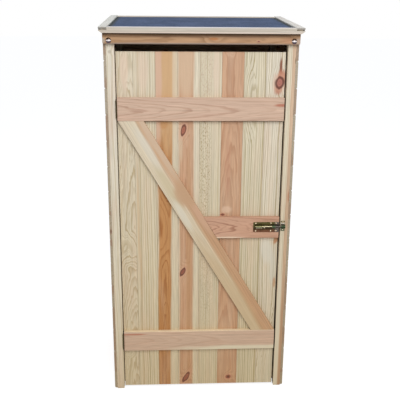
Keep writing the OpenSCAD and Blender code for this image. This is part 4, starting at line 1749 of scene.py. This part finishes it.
@dataclass
class BarrelBolt:
    """A pressed barrel bolt: a plate with two straps, a turned rod with a knob, and a keeper on the post.

    Attributes:
        plate_corner_mm: radius of the plate's corners.
        edge_mm: rounding of the pressed edges.
        screw: the screws in plate and keeper.
        screw_in_mm: the screws' places from the plate's left edge, its middle and its right edge.
        screw_up_mm: how far they lie from its lower and upper edge.
        foot_mm: how thick the keeper's feet are.
        chamfer_mm: how far the rod's left end, its shoulder and its right end are turned down or back.
        knob_degrees: where the knob's ball begins, from its widest place, and the step from ring to ring.
        knob_rings: how many rings the ball has.
    """

    plate_corner_mm: float = 3.0
    edge_mm: float = 0.4
    screw: Screw = Screw()
    screw_in_mm: tuple[float, float, float] = (10.5, 20.0, 11.5)
    screw_up_mm: float = 5.5
    foot_mm: float = 1.6
    chamfer_mm: tuple[float, float, float] = (1.0, 2.0, 1.6)
    knob_degrees: tuple[float, float] = (-50.0, 14.0)
    knob_rings: int = 10

    def build(self) -> None:
        """Builds and dresses the bolt."""
        self._plate()
        self._pressed("latch_guide_left", "door", STRAP_ZINC)
        self._pressed("latch_guide_right", "door", GREEN_ZINC)
        self._rod()
        self._knob()
        self._pressed("latch_keeper", "cabinet", KEEPER_ZINC)
        low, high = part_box("latch_keeper")
        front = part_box("post_front_right")[0].y - self.foot_mm * MM
        self._screws("latch_keeper_screws", "cabinet", [(low.x + high.x) / 2], front, (low.z, high.z))

    def _pressed(self, node: str, body: str, finish: PlatedSteel) -> None:
        """Builds a part pressed from strip, its edges rounded by the press.

        Args:
            node: the CAD node.
            body: the body that it rides on.
            finish: its plating.
        """
        piece = Workpiece.copy_of(node).ease(self.edge_mm, 1, longer_than(2))
        piece.install(f"{node}_pressed", body, finish.material(), "yellow_zinc", node)

    def _plate(self) -> None:
        """Builds the plate with its screws."""
        low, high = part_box("latch_plate")
        middle = (low + high) / 2
        outline = rounded_rectangle((high.x - low.x) / MM, (high.z - low.z) / MM, self.plate_corner_mm)
        outline = [(a + middle.x, b + middle.z) for a, b in outline]
        skin = 0.1 * MM
        piece = Workpiece()
        piece.add_prism(outline, (X, Z, Y), low.y, high.y)
        piece.ease(self.edge_mm, 2, lambda e: all(v.co.y < low.y + skin for v in e.verts))
        piece.install("latch_plate_pressed", "door", PLATE_ZINC.material(), "yellow_zinc", "latch_plate")
        left, centre, right = (place * MM for place in self.screw_in_mm)
        self._screws("latch_plate_screws", "door", [low.x + left, middle.x + centre, high.x - right], low.y,
                     (low.z, high.z))

    def _screws(self, name: str, body: str, across: Sequence[float], front: float, reach: Point2) -> None:
        """Drives a pair of screws, one above the other, at each place.

        Args:
            name: what they are called.
            body: the body that they ride on.
            across: the places across the cabinet, metres.
            front: the face that they are driven into, metres.
            reach: the lower and upper edge of what they hold, metres.
        """
        piece = Workpiece()
        for x in across:
            for z in (reach[0] + self.screw_up_mm * MM, reach[1] - self.screw_up_mm * MM):
                self.screw.drive(piece, Vector((x, front, z)), -Y)
        piece.install(name, body, SCREW_ZINC.material(), "yellow_zinc")

    def _rod(self) -> None:
        """Builds the rod with its chamfered end."""
        low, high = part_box("latch_rod")
        radius = (high.z - low.z) / 2
        middle = (low + high) / 2
        length = high.x - low.x
        start, shoulder, end = (size * MM for size in self.chamfer_mm)
        piece = Workpiece()
        piece.add_turned([(radius - start, 0.0), (radius, start), (radius, length - shoulder),
                          (radius - end, length)], Vector((low.x, middle.y, middle.z)), X, 40)
        piece.install("latch_rod_turned", "bolt_rod", ROD_ZINC.material(), "yellow_zinc", "latch_rod")

    def _knob(self) -> None:
        """Builds the knob on its neck."""
        rod_low, rod_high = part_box("latch_rod")
        low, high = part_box("latch_knob")
        rod_radius = (rod_high.z - rod_low.z) / 2
        rod_middle = (rod_low + rod_high) / 2
        ball = (high.x - low.x) / 2
        tip = rod_middle.y - low.y
        first, step = self.knob_degrees
        angles = (math.radians(first + step * k) for k in range(self.knob_rings))
        arc = [(ball * math.cos(t), tip - ball + ball * math.sin(t)) for t in angles]
        neck, sunk_share, proud = ball * 0.6, 0.7, 1 * MM
        piece = Workpiece()
        piece.add_turned([(neck, rod_radius * sunk_share), (neck, rod_radius + proud), *arc, (0.0, tip)],
                         Vector(((low.x + high.x) / 2, rod_middle.y, rod_middle.z)), -Y, 32)
        piece.install("latch_knob_turned", "bolt_rod", KNOB_ZINC.material(), "yellow_zinc", "latch_knob")


@dataclass
class Studio:
    """A pale floor, soft light and the camera.

    Attributes:
        lens_mm: the camera's lens on a 36 mm sensor.
        place_mm: where the camera stands.
        tilt: how far it looks down, degrees.
        yaw: how far it looks to the right, degrees.
        roll: how far it leans, degrees.
        ambient: the world's light level.
        floor_glow: how much of the floor's white, as it is looked at, comes from itself and not from lamps.
        floor_radius: the floor's radius, metres.
        floor_drop_mm: how far the floor lies under the feet.
    """

    lens_mm: float = 55.16
    place_mm: tuple[float, float, float] = (-121.92, -2621.45, 1572.85)
    tilt: float = 16.35
    yaw: float = 2.86
    roll: float = 0.43
    ambient: float = 0.58
    floor_glow: float = 0.72
    floor_radius: float = 60.0
    floor_drop_mm: float = 0.2

    def build(self) -> None:
        """Sets up the whole studio."""
        self._camera()
        self._world()
        self._floor()
        self._lamp("key_softbox", Vector((0.5, -3.4, 3.5)), Vector((0, 0, 0.7)), size=2.2, power=105.0)
        self._lamp("top_softbox", Vector((-0.8, 0.4, 4.2)), Vector((0, 0, 0.8)), size=2.6, power=6.0)
        bpy.context.scene.view_settings.view_transform = "Standard"

    def _camera(self) -> None:
        """Stands the camera where the cabinet is seen from."""
        yaw, tilt, roll = (math.radians(a) for a in (self.yaw, self.tilt, self.roll))
        forward = Vector((math.sin(yaw) * math.cos(tilt), math.cos(yaw) * math.cos(tilt), -math.sin(tilt)))
        level = Vector((math.cos(yaw), -math.sin(yaw), 0))
        rise = level.cross(forward)
        right = level * math.cos(roll) + rise * math.sin(roll)
        up = rise * math.cos(roll) - level * math.sin(roll)
        camera = bpy.data.objects.new("camera", bpy.data.cameras.new("camera"))
        camera.data.lens = self.lens_mm
        camera.data.sensor_width = 36.0
        camera.data.clip_end = 200.0
        turned = Matrix((right, up, -forward)).transposed().to_4x4()
        turned.translation = Vector(self.place_mm) * MM
        camera.matrix_world = turned
        bpy.context.scene.collection.objects.link(camera)
        bpy.context.scene.camera = camera

    @staticmethod
    def _seen(nodes: NodeTree) -> Node:
        """Where a ray from the camera, a reflection or a pane looks, as against light.

        Args:
            nodes: the material's or the world's nodes.
        Returns:
            A node that gives 1 for such a ray.
        """
        path = nodes.add("ShaderNodeLightPath")
        seen = path.outputs["Is Camera Ray"]
        for kind in ("Is Glossy Ray", "Is Transmission Ray"):
            seen = nodes.add(MATH, {0: seen, 1: path.outputs[kind]}, operation="MAXIMUM")
        return seen

    def _world(self) -> None:
        """A white world that lights at the ambient level."""
        nodes = NodeTree(bpy.data.worlds.new("white_studio"))
        bpy.context.scene.world = nodes.owner
        light = nodes.add("ShaderNodeBackground", {"Color": linear("#F4F7FF"), "Strength": self.ambient})
        white = nodes.add("ShaderNodeBackground", {"Color": linear("#FFFFFF"), "Strength": 1.0})
        both = nodes.add("ShaderNodeMixShader", {0: self._seen(nodes), 1: light, 2: white})
        nodes.add("ShaderNodeOutputWorld", {"Surface": both})

    def _floor(self) -> None:
        """A wide matt floor just under the feet, white to look at but for the cabinet's shadow."""
        bm = bmesh.new()
        bmesh.ops.create_circle(bm, cap_ends=True, segments=96, radius=self.floor_radius)
        mesh = bpy.data.meshes.new("studio_floor")
        bm.to_mesh(mesh)
        bm.free()
        floor = bpy.data.objects.new("studio_floor", mesh)
        floor.location.z = -self.floor_drop_mm * MM
        bpy.context.scene.collection.objects.link(floor)
        nodes = NodeTree(bpy.data.materials.new("matt_white_floor"))
        lit = nodes.add("ShaderNodeBsdfDiffuse", {"Color": linear("#D8D6D2"), "Roughness": 0.0})
        pale = nodes.add("ShaderNodeBsdfDiffuse", {"Color": linear("#BCBCBC"), "Roughness": 0.0})
        glow = nodes.add("ShaderNodeEmission", {"Color": linear("#FFFFFF"), "Strength": self.floor_glow})
        white = nodes.add("ShaderNodeAddShader", {0: pale, 1: glow})
        both = nodes.add("ShaderNodeMixShader", {0: self._seen(nodes), 1: lit, 2: white})
        nodes.add(OUTPUT, {"Surface": both})
        mesh.materials.append(nodes.owner)

    @staticmethod
    def _lamp(name: str, place: Vector, target: Vector, size: float, power: float) -> None:
        """Hangs a soft square lamp.

        Args:
            name: its name.
            place: where it hangs, metres.
            target: what it looks at.
            size: its side, metres.
            power: its power, watts.
        """
        lamp = bpy.data.lights.new(name, "AREA")
        lamp.shape = "SQUARE"
        lamp.size = size
        lamp.energy = power
        holder = bpy.data.objects.new(name, lamp)
        holder.location = place
        holder.rotation_euler = (target - place).to_track_quat("-Z", "Y").to_euler()
        bpy.context.scene.collection.objects.link(holder)


def main() -> None:
    """Builds the cabinet, sub-assembly by sub-assembly, and the studio round it."""
    logging.basicConfig(level=logging.INFO, format="%(name)s %(message)s")
    rng = random.Random(SEED)
    CornerFrame().build()
    for side in Side:
        BoardWall(side).build(rng)
    Roof().build(rng)
    LedgedDoor().build()
    for name in ("upper", "lower"):
        ButtHinge(name).build()
    BarrelBolt().build()
    Studio().build()


if __name__ == "__main__":
    main()
